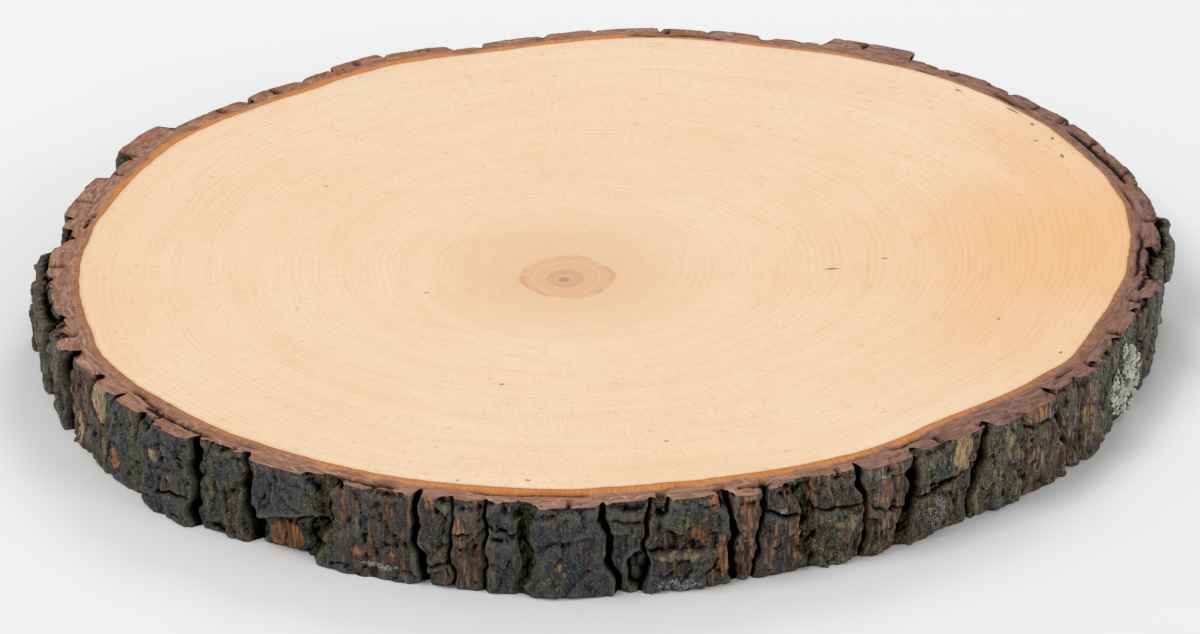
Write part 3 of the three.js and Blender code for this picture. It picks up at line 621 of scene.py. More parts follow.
def joined_mesh(name, coordinates, groups, smooth=True):
    """A mesh in metres from points in millimetres and groups of (polygons, material number)."""
    mesh = bpy.data.meshes.new(name)
    corners = np.concatenate([faces.ravel() for faces, _ in groups])
    sizes = np.concatenate([np.full(len(faces), faces.shape[1]) for faces, _ in groups])
    slots = np.concatenate([np.full(len(faces), slot) for faces, slot in groups])
    mesh.vertices.add(len(coordinates))
    mesh.vertices.foreach_set("co", (coordinates / 1000).astype(np.float32).ravel())
    mesh.loops.add(len(corners))
    mesh.loops.foreach_set("vertex_index", corners.astype(np.int32))
    mesh.polygons.add(len(sizes))
    mesh.polygons.foreach_set("loop_start", (np.cumsum(sizes) - sizes).astype(np.int32))
    mesh.polygons.foreach_set("material_index", slots.astype(np.int32))
    mesh.polygons.foreach_set("use_smooth", np.full(len(sizes), smooth))
    mesh.update(calc_edges=True)
    mesh.validate()
    thing = bpy.data.objects.new(name, mesh)
    bpy.context.scene.collection.objects.link(thing)
    return thing


def store(thing, name, values):
    """Keeps a number, or three, for every point of a mesh, for its material to read."""
    kind = "FLOAT" if values.ndim == 1 else "FLOAT_VECTOR"
    field = "value" if values.ndim == 1 else "vector"
    layer = thing.data.attributes.new(name, kind, "POINT")
    layer.data.foreach_set(field, values.astype(np.float32).ravel())


WOOD, CUT_BARK, BARK = 0, 1, 2
groups = [
    (quads(side), BARK),
    (quads(np.concatenate([side[:, -1:], top_cut], axis=1)), CUT_BARK),
    (spoke_strip(top_cut[:, -1], top_wood[:, 0]), WOOD),
    (quads(top_wood), WOOD),
    (fan(top_wood[:, -1], top_pith), WOOD),
    (quads(np.concatenate([side[:, :1], low_cut], axis=1))[:, ::-1], CUT_BARK),
    (spoke_strip(low_cut[:, -1], low_wood[:, 0])[:, ::-1], WOOD),
    (quads(low_wood)[:, ::-1], WOOD),
    (fan(low_wood[:, -1], low_pith)[:, ::-1], WOOD),
]
slice_piece = joined_mesh("wood_slice_body", np.concatenate(points), groups)
slice_piece.data.set_sharp_from_angle(angle=math.radians(24))
all_looks, all_stains = np.concatenate(looks), np.concatenate(stains)
all_shade_highlight_break = np.concatenate(shade_highlight_break)
store(slice_piece, "grown", np.concatenate(growth) / 1000)
store(slice_piece, "plate_look", all_looks)
store(slice_piece, "stain", all_stains[:, :3])
store(slice_piece, "moss", all_stains[:, 3])
store(slice_piece, "recess_shade", all_shade_highlight_break[:, 0])
store(slice_piece, "raised_highlight", all_shade_highlight_break[:, 1])
store(slice_piece, "fresh", all_shade_highlight_break[:, 2])


def linear(red, green, blue):
    """A colour given as 0 to 255 sRGB numbers, as the linear values that a shader wants."""
    share = np.array([red, green, blue]) / 255
    return (*np.where(share > 0.04045, ((share + 0.055) / 1.055) ** 2.4, share / 12.92), 1.0)


def add_node(tree, kind, inputs=None, **options):
    """Adds a shader node, sets its options, and wires or sets the inputs given by name or number."""
    node = tree.nodes.new("ShaderNode" + kind)
    for option, value in options.items():
        setattr(node, option, value)
    for socket, value in (inputs or {}).items():
        if isinstance(value, bpy.types.NodeSocket):
            tree.links.new(value, node.inputs[socket])
        else:
            node.inputs[socket].default_value = value
    return node


def maths(tree, operation, first, second=0.5, third=0.5):
    """One arithmetic step on numbers."""
    return add_node(tree, "Math", {0: first, 1: second, 2: third}, operation=operation).outputs[0]


def vector_maths(tree, operation, first, second=(0, 0, 0)):
    """One arithmetic step on vectors. Length gives a number."""
    node = add_node(tree, "VectorMath", {0: first, 1: second}, operation=operation)
    return node.outputs["Value"] if operation in ("LENGTH", "DOT_PRODUCT") else node.outputs[0]


def blend(tree, share, first, second, mode="MIX"):
    """A colour between two, by a varying share."""
    inputs = {0: share, 6: first, 7: second}
    return add_node(tree, "Mix", inputs, data_type="RGBA", blend_type=mode).outputs[2]


def eased(tree, value, low, high, start=0.0, end=1.0):
    """The value eased from start to end as it goes from low to high."""
    inputs = {0: value, 1: low, 2: high, 3: start, 4: end}
    return add_node(tree, "MapRange", inputs, interpolation_type="SMOOTHSTEP").outputs[0]


def speckle(tree, vector, scale, detail=3.0, roughness=0.55):
    """Noise from 0 to 1 at that many bumps a metre."""
    inputs = {"Vector": vector, "Scale": scale, "Detail": detail, "Roughness": roughness}
    return add_node(tree, "TexNoise", inputs).outputs[0]


def read(tree, name, number=True):
    """A number or vector kept on the mesh's points."""
    node = add_node(tree, "Attribute", attribute_name=name)
    return node.outputs["Fac" if number else "Vector"]


def stretched(tree, vector, scales):
    """The vector with each axis scaled, so that noise read from it comes out stretched."""
    return vector_maths(tree, "MULTIPLY", vector, scales)


def new_material(name):
    """An empty material, its node tree and its shader."""
    material = bpy.data.materials.new(name)
    material.use_nodes = True
    tree = material.node_tree
    tree.nodes.clear()
    shader = add_node(tree, "BsdfPrincipled")
    add_node(tree, "OutputMaterial", {"Surface": shader.outputs[0]})
    return material, tree, shader


def wire(tree, shader, **sockets):
    """Joins outputs to the shader's sockets, given by name with spaces as underscores."""
    for name, value in sockets.items():
        if isinstance(value, bpy.types.NodeSocket):
            tree.links.new(value, shader.inputs[name.replace("_", " ")])
        else:
            shader.inputs[name.replace("_", " ")].default_value = value


def trunk_directions(tree):
    """Distance from the pith in the perfectly round trunk, direction from it, and the place itself."""
    place = read(tree, "grown", number=False)
    level = stretched(tree, place, (1, 1, 0))
    return vector_maths(tree, "LENGTH", level), vector_maths(tree, "NORMALIZE", level), place


def new_group(name, inputs, output):
    """Makes a shader node group with named inputs and one number as its output. Returns the group,
    the sockets of its inputs and the socket of its output."""
    group = bpy.data.node_groups.new(name, "ShaderNodeTree")
    for socket, kind in inputs.items():
        group.interface.new_socket(socket, in_out="INPUT", socket_type="NodeSocket" + kind)
    group.interface.new_socket(output, in_out="OUTPUT", socket_type="NodeSocketFloat")
    return group, group.nodes.new("NodeGroupInput").outputs, group.nodes.new("NodeGroupOutput").inputs


# Grain that follows the trunk: noise drawn out along the rings where "Around" is small, and along the
# rays from pith to bark where "Outward" is small. The bare wood and the cut bark both have it.
grain_group, given, result = new_group("trunk_grain", {
    "From Pith": "Float", "Direction": "Vector", "Outward": "Float", "Around": "Float",
    "Detail": "Float", "Roughness": "Float",
}, "Grain")
outward_height = maths(grain_group, "MULTIPLY", given["From Pith"], given["Outward"])
outward_part = add_node(grain_group, "CombineXYZ", {"Z": outward_height}).outputs[0]
around_part = vector_maths(grain_group, "MULTIPLY", given["Direction"], given["Around"])
grain_noise = add_node(grain_group, "TexNoise", {
    "Vector": vector_maths(grain_group, "ADD", around_part, outward_part), "Scale": 1.0,
    "Detail": given["Detail"], "Roughness": given["Roughness"],
})
grain_group.links.new(grain_noise.outputs[0], result["Grain"])


def trunk_grain(tree, from_pith, direction, outward, around, detail=3.0, roughness=0.55):
    """The trunk's grain in a material: so many bumps a metre outward, and so many a radian around."""
    settings = (from_pith, direction, outward, around, detail, roughness)
    return add_node(tree, "Group", dict(enumerate(settings)), node_tree=grain_group).outputs["Grain"]


# Bare sawn wood: pale, with faint rings, rays running out from the pith, a brown heart and flecks.
wood_material, tree, shader = new_material("sawn_wood")
distance, direction, trunk_place = trunk_directions(tree)
object_place = add_node(tree, "TexCoord").outputs["Object"]
sway = maths(tree, "SUBTRACT", speckle(tree, trunk_place, 16, 2.0), 0.5)
small_sway = maths(tree, "SUBTRACT", speckle(tree, trunk_place, 60, 2.0), 0.5)
swayed = maths(tree, "MULTIPLY_ADD", sway, 0.005, distance)
swayed = maths(tree, "MULTIPLY_ADD", small_sway, 0.0008, swayed)
ring_drift = trunk_grain(tree, swayed, direction, 60, 0.3, 1.0)
phase = maths(tree, "MULTIPLY_ADD", ring_drift, 2.6, maths(tree, "MULTIPLY", swayed, 430))
late_wood = maths(tree, "FRACT", phase)
late_wood = maths(tree, "MULTIPLY", eased(tree, late_wood, 0.25, 0.85), eased(tree, late_wood, 1.0, 0.88))
ring_strength = trunk_grain(tree, swayed, direction, 150, 2.0, 2.0)
warmth_here = read(tree, "warmth")
late_share = maths(tree, "MULTIPLY_ADD", warmth_here, 0.2, 0.12)
late_share = maths(tree, "MULTIPLY_ADD", eased(tree, ring_strength, 0.4, 0.7), 0.5, late_share)
late_wood = maths(tree, "MULTIPLY", late_wood, late_share)
fine_rings = trunk_grain(tree, swayed, direction, 650, 6.0, 4.0, 0.65)
wide_rings = trunk_grain(tree, swayed, direction, 130, 0.8)
dashes = trunk_grain(tree, swayed, direction, 420, 45.0, 2.0)
rays = trunk_grain(tree, distance, direction, 150, 180, 3.0, 0.65)
clouds = speckle(tree, object_place, 14, 3.0)

cream = blend(tree, eased(tree, clouds, 0.3, 0.7), linear(253, 225, 192), linear(251, 219, 182))
colour = blend(tree, eased(tree, wide_rings, 0.35, 0.75, 0.0, 0.42), cream, linear(248, 208, 164))
colour = blend(tree, maths(tree, "MULTIPLY", late_wood, 0.3), colour, linear(230, 172, 118))
colour = blend(tree, eased(tree, fine_rings, 0.48, 0.7, 0.0, 0.28), colour, linear(238, 194, 148))
colour = blend(tree, eased(tree, dashes, 0.62, 0.74, 0.0, 0.4), colour, linear(228, 170, 112))
colour = blend(tree, eased(tree, rays, 0.52, 0.72, 0.0, 0.34), colour, linear(255, 240, 216))
colour = blend(tree, eased(tree, rays, 0.48, 0.28, 0.0, 0.26), colour, linear(232, 188, 144))

# The heart: a brown cloud, a warm disc and the pith itself, then warm stains near the rim.
cloud_edge = maths(tree, "MULTIPLY_ADD", maths(tree, "SUBTRACT", clouds, 0.5), 0.03, distance)
colour = blend(tree, eased(tree, cloud_edge, 0.062, 0.012, 0.0, 0.5), colour, linear(238, 188, 140))
disc_edge = maths(tree, "MULTIPLY_ADD", sway, 0.014, distance)
disc_edge = maths(tree, "MULTIPLY_ADD", small_sway, 0.005, disc_edge)
colour = blend(tree, eased(tree, disc_edge, 0.0160, 0.0135, 0.0, 0.44), colour, linear(222, 164, 114))
colour = blend(tree, eased(tree, disc_edge, 0.0080, 0.0050, 0.0, 0.4), colour, linear(208, 150, 114))
heart_rings = maths(tree, "PINGPONG", maths(tree, "MULTIPLY", disc_edge, 430), 1.0)
heart_rings = maths(tree, "POWER", heart_rings, 5.0)
heart_rings = maths(tree, "MULTIPLY", heart_rings, eased(tree, distance, 0.024, 0.010))
heart_rings = maths(tree, "MULTIPLY", heart_rings, eased(tree, fine_rings, 0.4, 0.56, 0.2, 1.0))
colour = blend(tree, maths(tree, "MULTIPLY", heart_rings, 0.6), colour, linear(247, 212, 176))
inside_rim, outside_core = eased(tree, disc_edge, 0.0166, 0.0154), eased(tree, disc_edge, 0.0136, 0.0150)
disc_rim = maths(tree, "MULTIPLY", inside_rim, outside_core)
disc_rim = maths(tree, "MULTIPLY", disc_rim, eased(tree, ring_strength, 0.36, 0.6, 0.05, 0.5))
colour = blend(tree, disc_rim, colour, linear(210, 142, 92))
colour = blend(tree, eased(tree, distance, 0.0032, 0.0006, 0.0, 0.55), colour, linear(168, 112, 98))
colour = blend(tree, maths(tree, "MULTIPLY", warmth_here, 0.74), colour, linear(252, 188, 120))
warm_rings = maths(tree, "MULTIPLY", maths(tree, "MULTIPLY", late_wood, warmth_here), 0.14)
colour = blend(tree, warm_rings, colour, linear(226, 150, 84))
colour = blend(tree, eased(tree, distance, 0.1735, 0.1752, 0.0, 0.4), colour, linear(214, 158, 98))

# Pith flecks and beetle marks: short dark dashes, given by middle, half length, half width and turn.
FLECKS = [
    (-60, -40, 1.0, 0.4, 20), (91, -14, 1.3, 0.4, 0), (73, -22, 2.6, 0.7, 10),
    (-97, 43, 0.9, 0.4, 150), (-34, -105, 1.0, 0.5, 20), (17, -143, 1.0, 0.5, 0),
    (125, -59, 1.1, 0.4, 60), (143, -83, 1.1, 0.5, 50), (-25, -168, 1.0, 0.5, 0),
    (-46, -168, 0.8, 0.4, 10), (125, 125, 1.8, 0.6, 135), (143, 107, 4.0, 0.6, 125),
    (149, 95, 1.4, 0.7, 100), (155, 83, 1.5, 0.7, 90), (149, 81, 1.0, 0.6, 0), (157, 68, 2.0, 0.7, 95),
]
fleck_group, given, result = new_group(
    "fleck", {"Place": "Vector", "Middle": "Vector", "Size": "Vector", "Turn": "Float"}, "Mask"
)
moved = vector_maths(fleck_group, "SUBTRACT", given["Place"], given["Middle"])
turned = add_node(
    fleck_group, "VectorRotate", {"Vector": moved, "Angle": given["Turn"]}, rotation_type="Z_AXIS"
).outputs[0]
in_sizes = vector_maths(fleck_group, "DIVIDE", turned, given["Size"])
from_middle = vector_maths(fleck_group, "LENGTH", in_sizes)
ragged_oval = maths(fleck_group, "ADD", from_middle, speckle(fleck_group, given["Place"], 900, 2.0))
fleck_group.links.new(eased(fleck_group, ragged_oval, 1.6, 1.2), result["Mask"])

level_place = stretched(tree, object_place, (1, 1, 0))
flecks = 0.0
for x, y, half_length, half_width, turn in FLECKS:
    mask = add_node(tree, "Group", {
        "Place": level_place,
        "Middle": ((x + TRUNK_CENTRE[0]) / 1000, (y + TRUNK_CENTRE[1]) / 1000, 0),
        "Size": (half_length / 1000, half_width / 1000, 1),
        "Turn": -math.radians(turn),
    }, node_tree=fleck_group).outputs["Mask"]
    flecks = maths(tree, "MAXIMUM", mask, flecks)
colour = blend(tree, maths(tree, "MULTIPLY", flecks, 0.75), colour, linear(128, 68, 30))

grain = speckle(tree, object_place, 2400, 2.0)
relief_height = maths(tree, "MULTIPLY_ADD", late_wood, 0.5, maths(tree, "MULTIPLY", rays, 0.8))
relief_height = maths(tree, "MULTIPLY_ADD", grain, 0.5, relief_height)
relief_height = maths(tree, "MULTIPLY_ADD", flecks, -2.0, relief_height)
bump = add_node(tree, "Bump", {"Strength": 0.35, "Distance": 0.0001, "Height": relief_height})
wire(
    tree, shader, Base_Color=colour, Roughness=eased(tree, fine_rings, 0.2, 0.8, 0.5, 0.68),
    Specular_IOR_Level=0.3, Normal=bump.outputs[0],
)

# Warm stains on the wood, kept on the points: soft ovals given by middle, half sizes and strength.
WARM_STAINS = [
    (158, 6, 66, 88, 1.0), (112, 0, 70, 90, 0.4), (-80, 10, 75, 85, 0.14), (130, -56, 50, 50, 0.55),
    (150, 70, 34, 50, 0.5), (-160, -52, 20, 66, 0.25), (-120, 118, 14, 26, 0.2), (20, -158, 60, 10, 0.2),
]
coordinates = np.concatenate(points)
warmth = np.zeros(len(coordinates))
for x, y, half_x, half_y, strength in WARM_STAINS:
    away = np.hypot((coordinates[:, 0] - x) / half_x, (coordinates[:, 1] - y) / half_y)
    away = away + 0.3 * layered_noise(coordinates, 30, 121)
    warmth = np.maximum(warmth, strength * smooth_step(1.3, 0.0, away))
store(slice_piece, "warmth", warmth)

# Cut bark: orange-brown inner bark with pale rays next to the wood, then layered purple-brown cork.
cut_material, tree, shader = new_material("cut_bark")
distance, direction, trunk_place = trunk_directions(tree)
object_place = add_node(tree, "TexCoord").outputs["Object"]
ragged_edge = maths(tree, "SUBTRACT", speckle(tree, object_place, 160, 3.0), 0.5)
bark_depth = maths(tree, "SUBTRACT", distance, ROUND_WOOD / 1000)
inner_depth = maths(tree, "MULTIPLY_ADD", ragged_edge, 0.0045, bark_depth)
ray_lines = trunk_grain(tree, distance, direction, 30, 420, 2.0, 0.6)
layers = trunk_grain(tree, distance, direction, 900, 26.0, 3.0, 0.6)
mottle = speckle(tree, object_place, 420, 4.0, 0.6)
broad = speckle(tree, object_place, 60, 2.0)
glow = read(tree, "glow")
bast = blend(tree, eased(tree, ray_lines, 0.35, 0.7), linear(208, 128, 60), linear(224, 151, 85))
bast = blend(tree, eased(tree, mottle, 0.45, 0.75, 0.0, 0.4), bast, linear(182, 110, 58))
brown_bast = blend(tree, eased(tree, ray_lines, 0.35, 0.7), linear(150, 96, 66), linear(186, 132, 98))
bast = blend(tree, eased(tree, glow, 0.15, 0.6), brown_bast, bast)
shade = read(tree, "shade")
cork = blend(tree, eased(tree, layers, 0.35, 0.65), linear(138, 96, 76), linear(180, 136, 112))
reddish = maths(tree, "MULTIPLY", eased(tree, glow, 0.6, 1.6), 0.5)
cork = blend(tree, reddish, cork, linear(164, 100, 60))
dark_cork = blend(tree, eased(tree, layers, 0.35, 0.65), linear(108, 76, 64), linear(154, 116, 100))
cork = blend(tree, maths(tree, "MULTIPLY", shade, 0.9), cork, dark_cork)
cork = blend(tree, eased(tree, mottle, 0.5, 0.75, 0.0, 0.6), cork, linear(118, 78, 62))
cork = blend(tree, eased(tree, broad, 0.45, 0.7, 0.0, 0.4), cork, linear(160, 104, 72))
cork = blend(tree, eased(tree, mottle, 0.36, 0.22, 0.0, 0.7), cork, linear(70, 44, 34))
net = trunk_grain(tree, distance, direction, 170, 11.0, 1.5)
net = maths(tree, "ABSOLUTE", maths(tree, "SUBTRACT", net, 0.5))
net_lines = maths(tree, "MULTIPLY", eased(tree, net, 0.014, 0.004), eased(tree, shade, 1.0, 0.0, 0.1, 0.5))
cork = blend(tree, net_lines, cork, linear(206, 176, 156))
bast_edge = maths(tree, "MULTIPLY_ADD", glow, -0.0016, inner_depth)
bast_edge = maths(tree, "MULTIPLY_ADD", broad, 0.005, bast_edge)
colour = blend(tree, eased(tree, bast_edge, 0.0031, 0.0050), bast, cork)
colour = blend(tree, eased(tree, bark_depth, 0.0010, 0.0002, 0.0, 0.45), colour, linear(168, 108, 66))
# Painted shade: the cut bark goes dark brown in its joints, cracks and slits.
gap = read(tree, "recess_shade")
colour = blend(tree, eased(tree, gap, 0.15, 0.75, 0.0, 0.95), colour, linear(30, 18, 12))
cut_height = maths(tree, "MULTIPLY_ADD", layers, 0.6, mottle)
cut_height = maths(tree, "MULTIPLY_ADD", ray_lines, 0.4, cut_height)
bump = add_node(tree, "Bump", {"Strength": 0.6, "Distance": 0.0006, "Height": cut_height})
wire(
    tree, shader, Base_Color=colour, Roughness=eased(tree, mottle, 0.3, 0.7, 0.6, 0.85),
    Specular_IOR_Level=0.25, Normal=bump.outputs[0],
)

# The inner bark glows orange at the front and the back; the cork is darker round to the right.
from_centre = coordinates[:, :2] - TRUNK_CENTRE
glow_angle = np.degrees(np.arctan2(from_centre[:, 1], from_centre[:, 0])) % 360
glow = np.exp(-(((glow_angle - 272) / 46) ** 2)) + 1.7 * np.exp(-(((glow_angle - 116) / 52) ** 2))
store(slice_piece, "glow", glow * (0.8 + 0.4 * noise(coordinates, 14, 131)))
from_right = np.abs((glow_angle + 5 + 180) % 360 - 180)
store(slice_piece, "shade", smooth_step(85, 40, from_right))

# Weathered bark: slate and olive plates with a painted bluish sheen on the slate, rust-brown where they
# have flaked, orange inner bark where they have broken off, painted shade that makes them nearly black in
# the fissures and hollows, a painted highlight on raised edges, moss, ochre specks, and pale crusts that
# also stand for painted glints.
bark_material, tree, shader = new_material("weathered_bark")
object_place = add_node(tree, "TexCoord").outputs["Object"]
look = add_node(tree, "SeparateXYZ", {0: read(tree, "plate_look", number=False)})
slate_share, rust_share, moss_share = look.outputs
spot = add_node(tree, "SeparateXYZ", {0: read(tree, "stain", number=False)})
orange_spot, ochre_spot, pale_crust_and_glint = spot.outputs
moss_spot = read(tree, "moss")
painted_recess_shade = read(tree, "recess_shade")
ridge_highlight = read(tree, "raised_highlight")
broad = speckle(tree, object_place, 70, 3.0)
blotch = speckle(tree, object_place, 260, 4.0, 0.6)
crumbs = speckle(tree, object_place, 1500, 4.0, 0.65)
fibre = speckle(tree, stretched(tree, object_place, (1, 1, 0.16)), 1100, 3.0, 0.6)
specks = speckle(tree, object_place, 1500, 2.0, 0.5)


def uneven(share, texture, softness=0.05):
    """Turns a smooth share into ragged patches: more of the texture passes as the share grows."""
    total = maths(tree, "MULTIPLY_ADD", share, 0.38, texture)
    return eased(tree, total, 0.71 - softness, 0.71 + softness)


streaks = speckle(tree, stretched(tree, object_place, (1, 1, 0.14)), 420, 3.0, 0.6)
colour = blend(tree, eased(tree, crumbs, 0.45, 0.67), linear(11, 9, 8), linear(101, 88, 69))
# Slate-grey plates, tinted bluish for a painted sheen of the bright room on them.
slate_sheen_mix = uneven(slate_share, broad)
slate_and_sheen = blend(tree, eased(tree, crumbs, 0.44, 0.68), linear(9, 12, 17), linear(84, 95, 107))
colour = blend(tree, maths(tree, "MULTIPLY", slate_sheen_mix, 0.85), colour, slate_and_sheen)
freshly_broken = read(tree, "fresh")
rust_here = maths(tree, "SUBTRACT", rust_share, 0.22)
rust_mix = uneven(maths(tree, "MULTIPLY_ADD", freshly_broken, 0.5, rust_here), streaks)
rust = blend(tree, eased(tree, fibre, 0.38, 0.66), linear(44, 26, 20), linear(132, 84, 60))
colour = blend(tree, maths(tree, "MULTIPLY", rust_mix, 0.85), colour, rust)
tufts = speckle(tree, object_place, 110, 4.0, 0.65)
moss_mix = uneven(maths(tree, "MAXIMUM", moss_share, moss_spot), tufts, 0.08)
moss = blend(tree, eased(tree, crumbs, 0.45, 0.66), linear(20, 24, 12), linear(132, 136, 76))
colour = blend(tree, maths(tree, "MULTIPLY", moss_mix, 0.8), colour, moss)
tan_mix = uneven(maths(tree, "MULTIPLY_ADD", rust_share, 0.5, 0.1), streaks)
tan_fibre = blend(tree, eased(tree, fibre, 0.4, 0.66), linear(88, 64, 44), linear(176, 142, 104))
colour = blend(tree, maths(tree, "MULTIPLY", tan_mix, 0.6), colour, tan_fibre)
ochre_mix = uneven(maths(tree, "MULTIPLY", ochre_spot, 0.95), blotch)
ochre = blend(tree, eased(tree, fibre, 0.36, 0.62), linear(146, 106, 62), linear(234, 198, 140))
ochre_mix = maths(tree, "MULTIPLY", ochre_mix, eased(tree, ochre_spot, 0.4, 1.0, 0.4, 0.88))
colour = blend(tree, ochre_mix, colour, ochre)
orange_mix = uneven(maths(tree, "SUBTRACT", orange_spot, 0.03), blotch)
orange = blend(tree, eased(tree, fibre, 0.4, 0.64), linear(104, 56, 28), linear(216, 139, 70))
orange_mix = maths(tree, "MULTIPLY", orange_mix, eased(tree, orange_spot, 0.3, 0.9, 0.5, 0.92))
colour = blend(tree, orange_mix, colour, orange)
# Pale bluish-white crusts, which also stand for painted glints.
crust_and_glint_mix = uneven(maths(tree, "MULTIPLY", pale_crust_and_glint, 0.8), crumbs)
colour = blend(tree, maths(tree, "MULTIPLY", crust_and_glint_mix, 0.75), colour, linear(172, 184, 196))
golden = eased(tree, specks, 0.66, 0.7)
golden = maths(tree, "MULTIPLY", golden, eased(tree, moss_share, 0.15, 0.45, 0.12, 0.8))
colour = blend(tree, golden, colour, linear(186, 160, 92))
pale_dust = eased(tree, specks, 0.34, 0.3)
colour = blend(tree, maths(tree, "MULTIPLY", pale_dust, 0.35), colour, linear(150, 156, 150))
lighter = maths(tree, "MULTIPLY", eased(tree, freshly_broken, 0.5, 0.1), 0.1)
colour = blend(tree, lighter, colour, linear(128, 132, 124))
# Painted highlight: raised edges of the plates are lightened.
colour = blend(tree, maths(tree, "MULTIPLY", ridge_highlight, 0.34), colour, linear(142, 132, 112))
by_side = eased(tree, read(tree, "shade"), 0.0, 1.0, 0.16, 0.6)
pale_fibre = maths(tree, "MULTIPLY", eased(tree, fibre, 0.54, 0.64), by_side)
colour = blend(tree, pale_fibre, colour, linear(168, 152, 118))
# Painted shade: the hollows and fissures go nearly black, and their specular is turned down below.
colour = blend(tree, eased(tree, painted_recess_shade, 0.06, 0.62, 0.0, 0.98), colour, linear(5, 4, 3))

height = maths(tree, "MULTIPLY_ADD", crumbs, 0.8, fibre)
height = maths(tree, "MULTIPLY_ADD", blotch, 0.3, height)
bump = add_node(tree, "Bump", {"Strength": 1.0, "Distance": 0.0009, "Height": height})
wire(
    tree, shader, Base_Color=colour, Roughness=eased(tree, blotch, 0.4, 0.62, 0.26, 0.66),
    Specular_IOR_Level=eased(tree, painted_recess_shade, 0.0, 0.5, 0.46, 0.0), Normal=bump.outputs[0],
)

for material in (wood_material, cut_material, bark_material):
    slice_piece.data.materials.append(material)
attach(slice_piece, "root")
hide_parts("wood_slice")


# ---------------------------------------------------------------------------------------------
# The lichen: a crust of small papery lobes that overlap and curl up at their rims. It grows on
# the bark at the front right. Each lobe is a thin closed cup; all of them are one mesh.

# Middle and half sizes of the crust on the bark, the radius and the grid row it is placed by, and how
# far it leans; then how many lobes are tried, how each is made, and how high the clumps' noise has to be.
LICHEN_ANGLE, LICHEN_HEIGHT = 337.9, 13.0
LICHEN_RADIUS = 180.0
LICHEN_ROW = 15
LICHEN_HALF_WIDTH, LICHEN_HALF_HEIGHT = 16.5, 12.5
LICHEN_LEAN = 0.3
CANDIDATES = 820
LOBE_RINGS, LOBE_POINTS = 2, 10
LOBE_THICKNESS = 0.22
MIDDLE_SHARE = 1.15
CLUMP_LEVEL = -0.12

chance = np.random.default_rng(11)
lobe_turn = chance.uniform(0, 2 * np.pi, CANDIDATES)
lobe_reach = np.sqrt(chance.uniform(0, 1, CANDIDATES))
up = LICHEN_HALF_HEIGHT * lobe_reach * np.sin(lobe_turn) * (1 + 0.12 * np.sin(4 * lobe_turn + 1))
along = LICHEN_HALF_WIDTH * lobe_reach * np.cos(lobe_turn) * (1 - 0.35 * up / LICHEN_HALF_HEIGHT)
along = along - LICHEN_LEAN * up

# Lobes only stand where a noise field is high, so that they gather in clumps with gaps between.
clump = noise(np.stack([along, up, np.zeros_like(up)], axis=-1), (4.5, 5.5, 1), 151)
kept = np.flatnonzero(clump > CLUMP_LEVEL)
LOBES = len(kept)
up, along, lobe_reach = up[kept], along[kept], lobe_reach[kept]
lobe_angle = LICHEN_ANGLE + np.degrees(along / LICHEN_RADIUS)
lobe_z = np.clip(LICHEN_HEIGHT + up, 1.5, 28)
lobe_size = chance.uniform(0.6, 1.5, LOBES) * (1.1 - 0.3 * lobe_reach)

# The bark's radius under each lobe, from the nearest point of the side's grid.
near_column = np.argmin(np.abs(angle[:, LICHEN_ROW][None, :] % 360 - lobe_angle[:, None]), axis=1)
near_row = np.argmin(np.abs(z[near_column] - lobe_z[:, None]), axis=1)
base_radius = wood_radius(lobe_angle) + bark[near_column, near_row]
lift = chance.uniform(0.1, 1.9, LOBES) * (1 - 0.5 * lobe_reach)
middle = on_trunk(lobe_angle, base_radius + lift, lobe_z)

outward = on_trunk(lobe_angle, 1.0, 0) - on_trunk(lobe_angle, 0.0, 0)
tilt = chance.normal(0, 0.38, (LOBES, 3))
facing = outward + tilt
facing /= np.linalg.norm(facing, axis=1)[:, None]
side_axis = np.cross(facing, [0, 0, 1.0])
side_axis /= np.linalg.norm(side_axis, axis=1)[:, None]
up_axis = np.cross(side_axis, facing)

ring = np.linspace(0, 1, LOBE_RINGS + 1)[1:][None, :, None]
round_turn = np.linspace(0, 2 * np.pi, LOBE_POINTS, endpoint=False)[None, None, :]
phase_a, phase_b = chance.uniform(0, 6.28, (2, LOBES, 1, 1))
folds = chance.integers(2, 5, (LOBES, 1, 1))
outline = 1 + 0.24 * np.sin(folds * round_turn + phase_a)
radius = lobe_size[:, None, None] * ring * outline
curl = lobe_size[:, None, None] * ring**2 * (0.28 + 0.3 * np.sin(folds * round_turn + phase_b))


def lobe_side(height):
    """Points of every lobe: out from its middle in its own plane, and up along its facing."""
    flat = side_axis[:, None, None] * (radius * np.cos(round_turn))[..., None]
    flat = flat + up_axis[:, None, None] * (radius * np.sin(round_turn))[..., None]
    return middle[:, None, None] + flat + facing[:, None, None] * height[..., None]


front = lobe_side(curl)
back = lobe_side(curl - LOBE_THICKNESS * (MIDDLE_SHARE - ring))
middle_front = middle[:, None, :]
middle_back = middle[:, None, :] - facing[:, None, :] * LOBE_THICKNESS * MIDDLE_SHARE
lobe_points = np.concatenate(
    [front.reshape(LOBES, -1, 3), back.reshape(LOBES, -1, 3), middle_front, middle_back], axis=1
)
ring_size = LOBE_RINGS * LOBE_POINTS
front_numbers = np.arange(ring_size).reshape(LOBE_RINGS, LOBE_POINTS).T
back_numbers = front_numbers + ring_size
one_lobe_quads = np.concatenate([
    quads(front_numbers),
    quads(back_numbers)[:, ::-1],
    quads(np.stack([front_numbers[:, -1], back_numbers[:, -1]], axis=1)),
])
one_lobe_fans = np.concatenate([
    fan(front_numbers[:, 0], 2 * ring_size)[:, ::-1],
    fan(back_numbers[:, 0], 2 * ring_size + 1),
])
first_point = (np.arange(LOBES) * lobe_points.shape[1])[:, None, None]
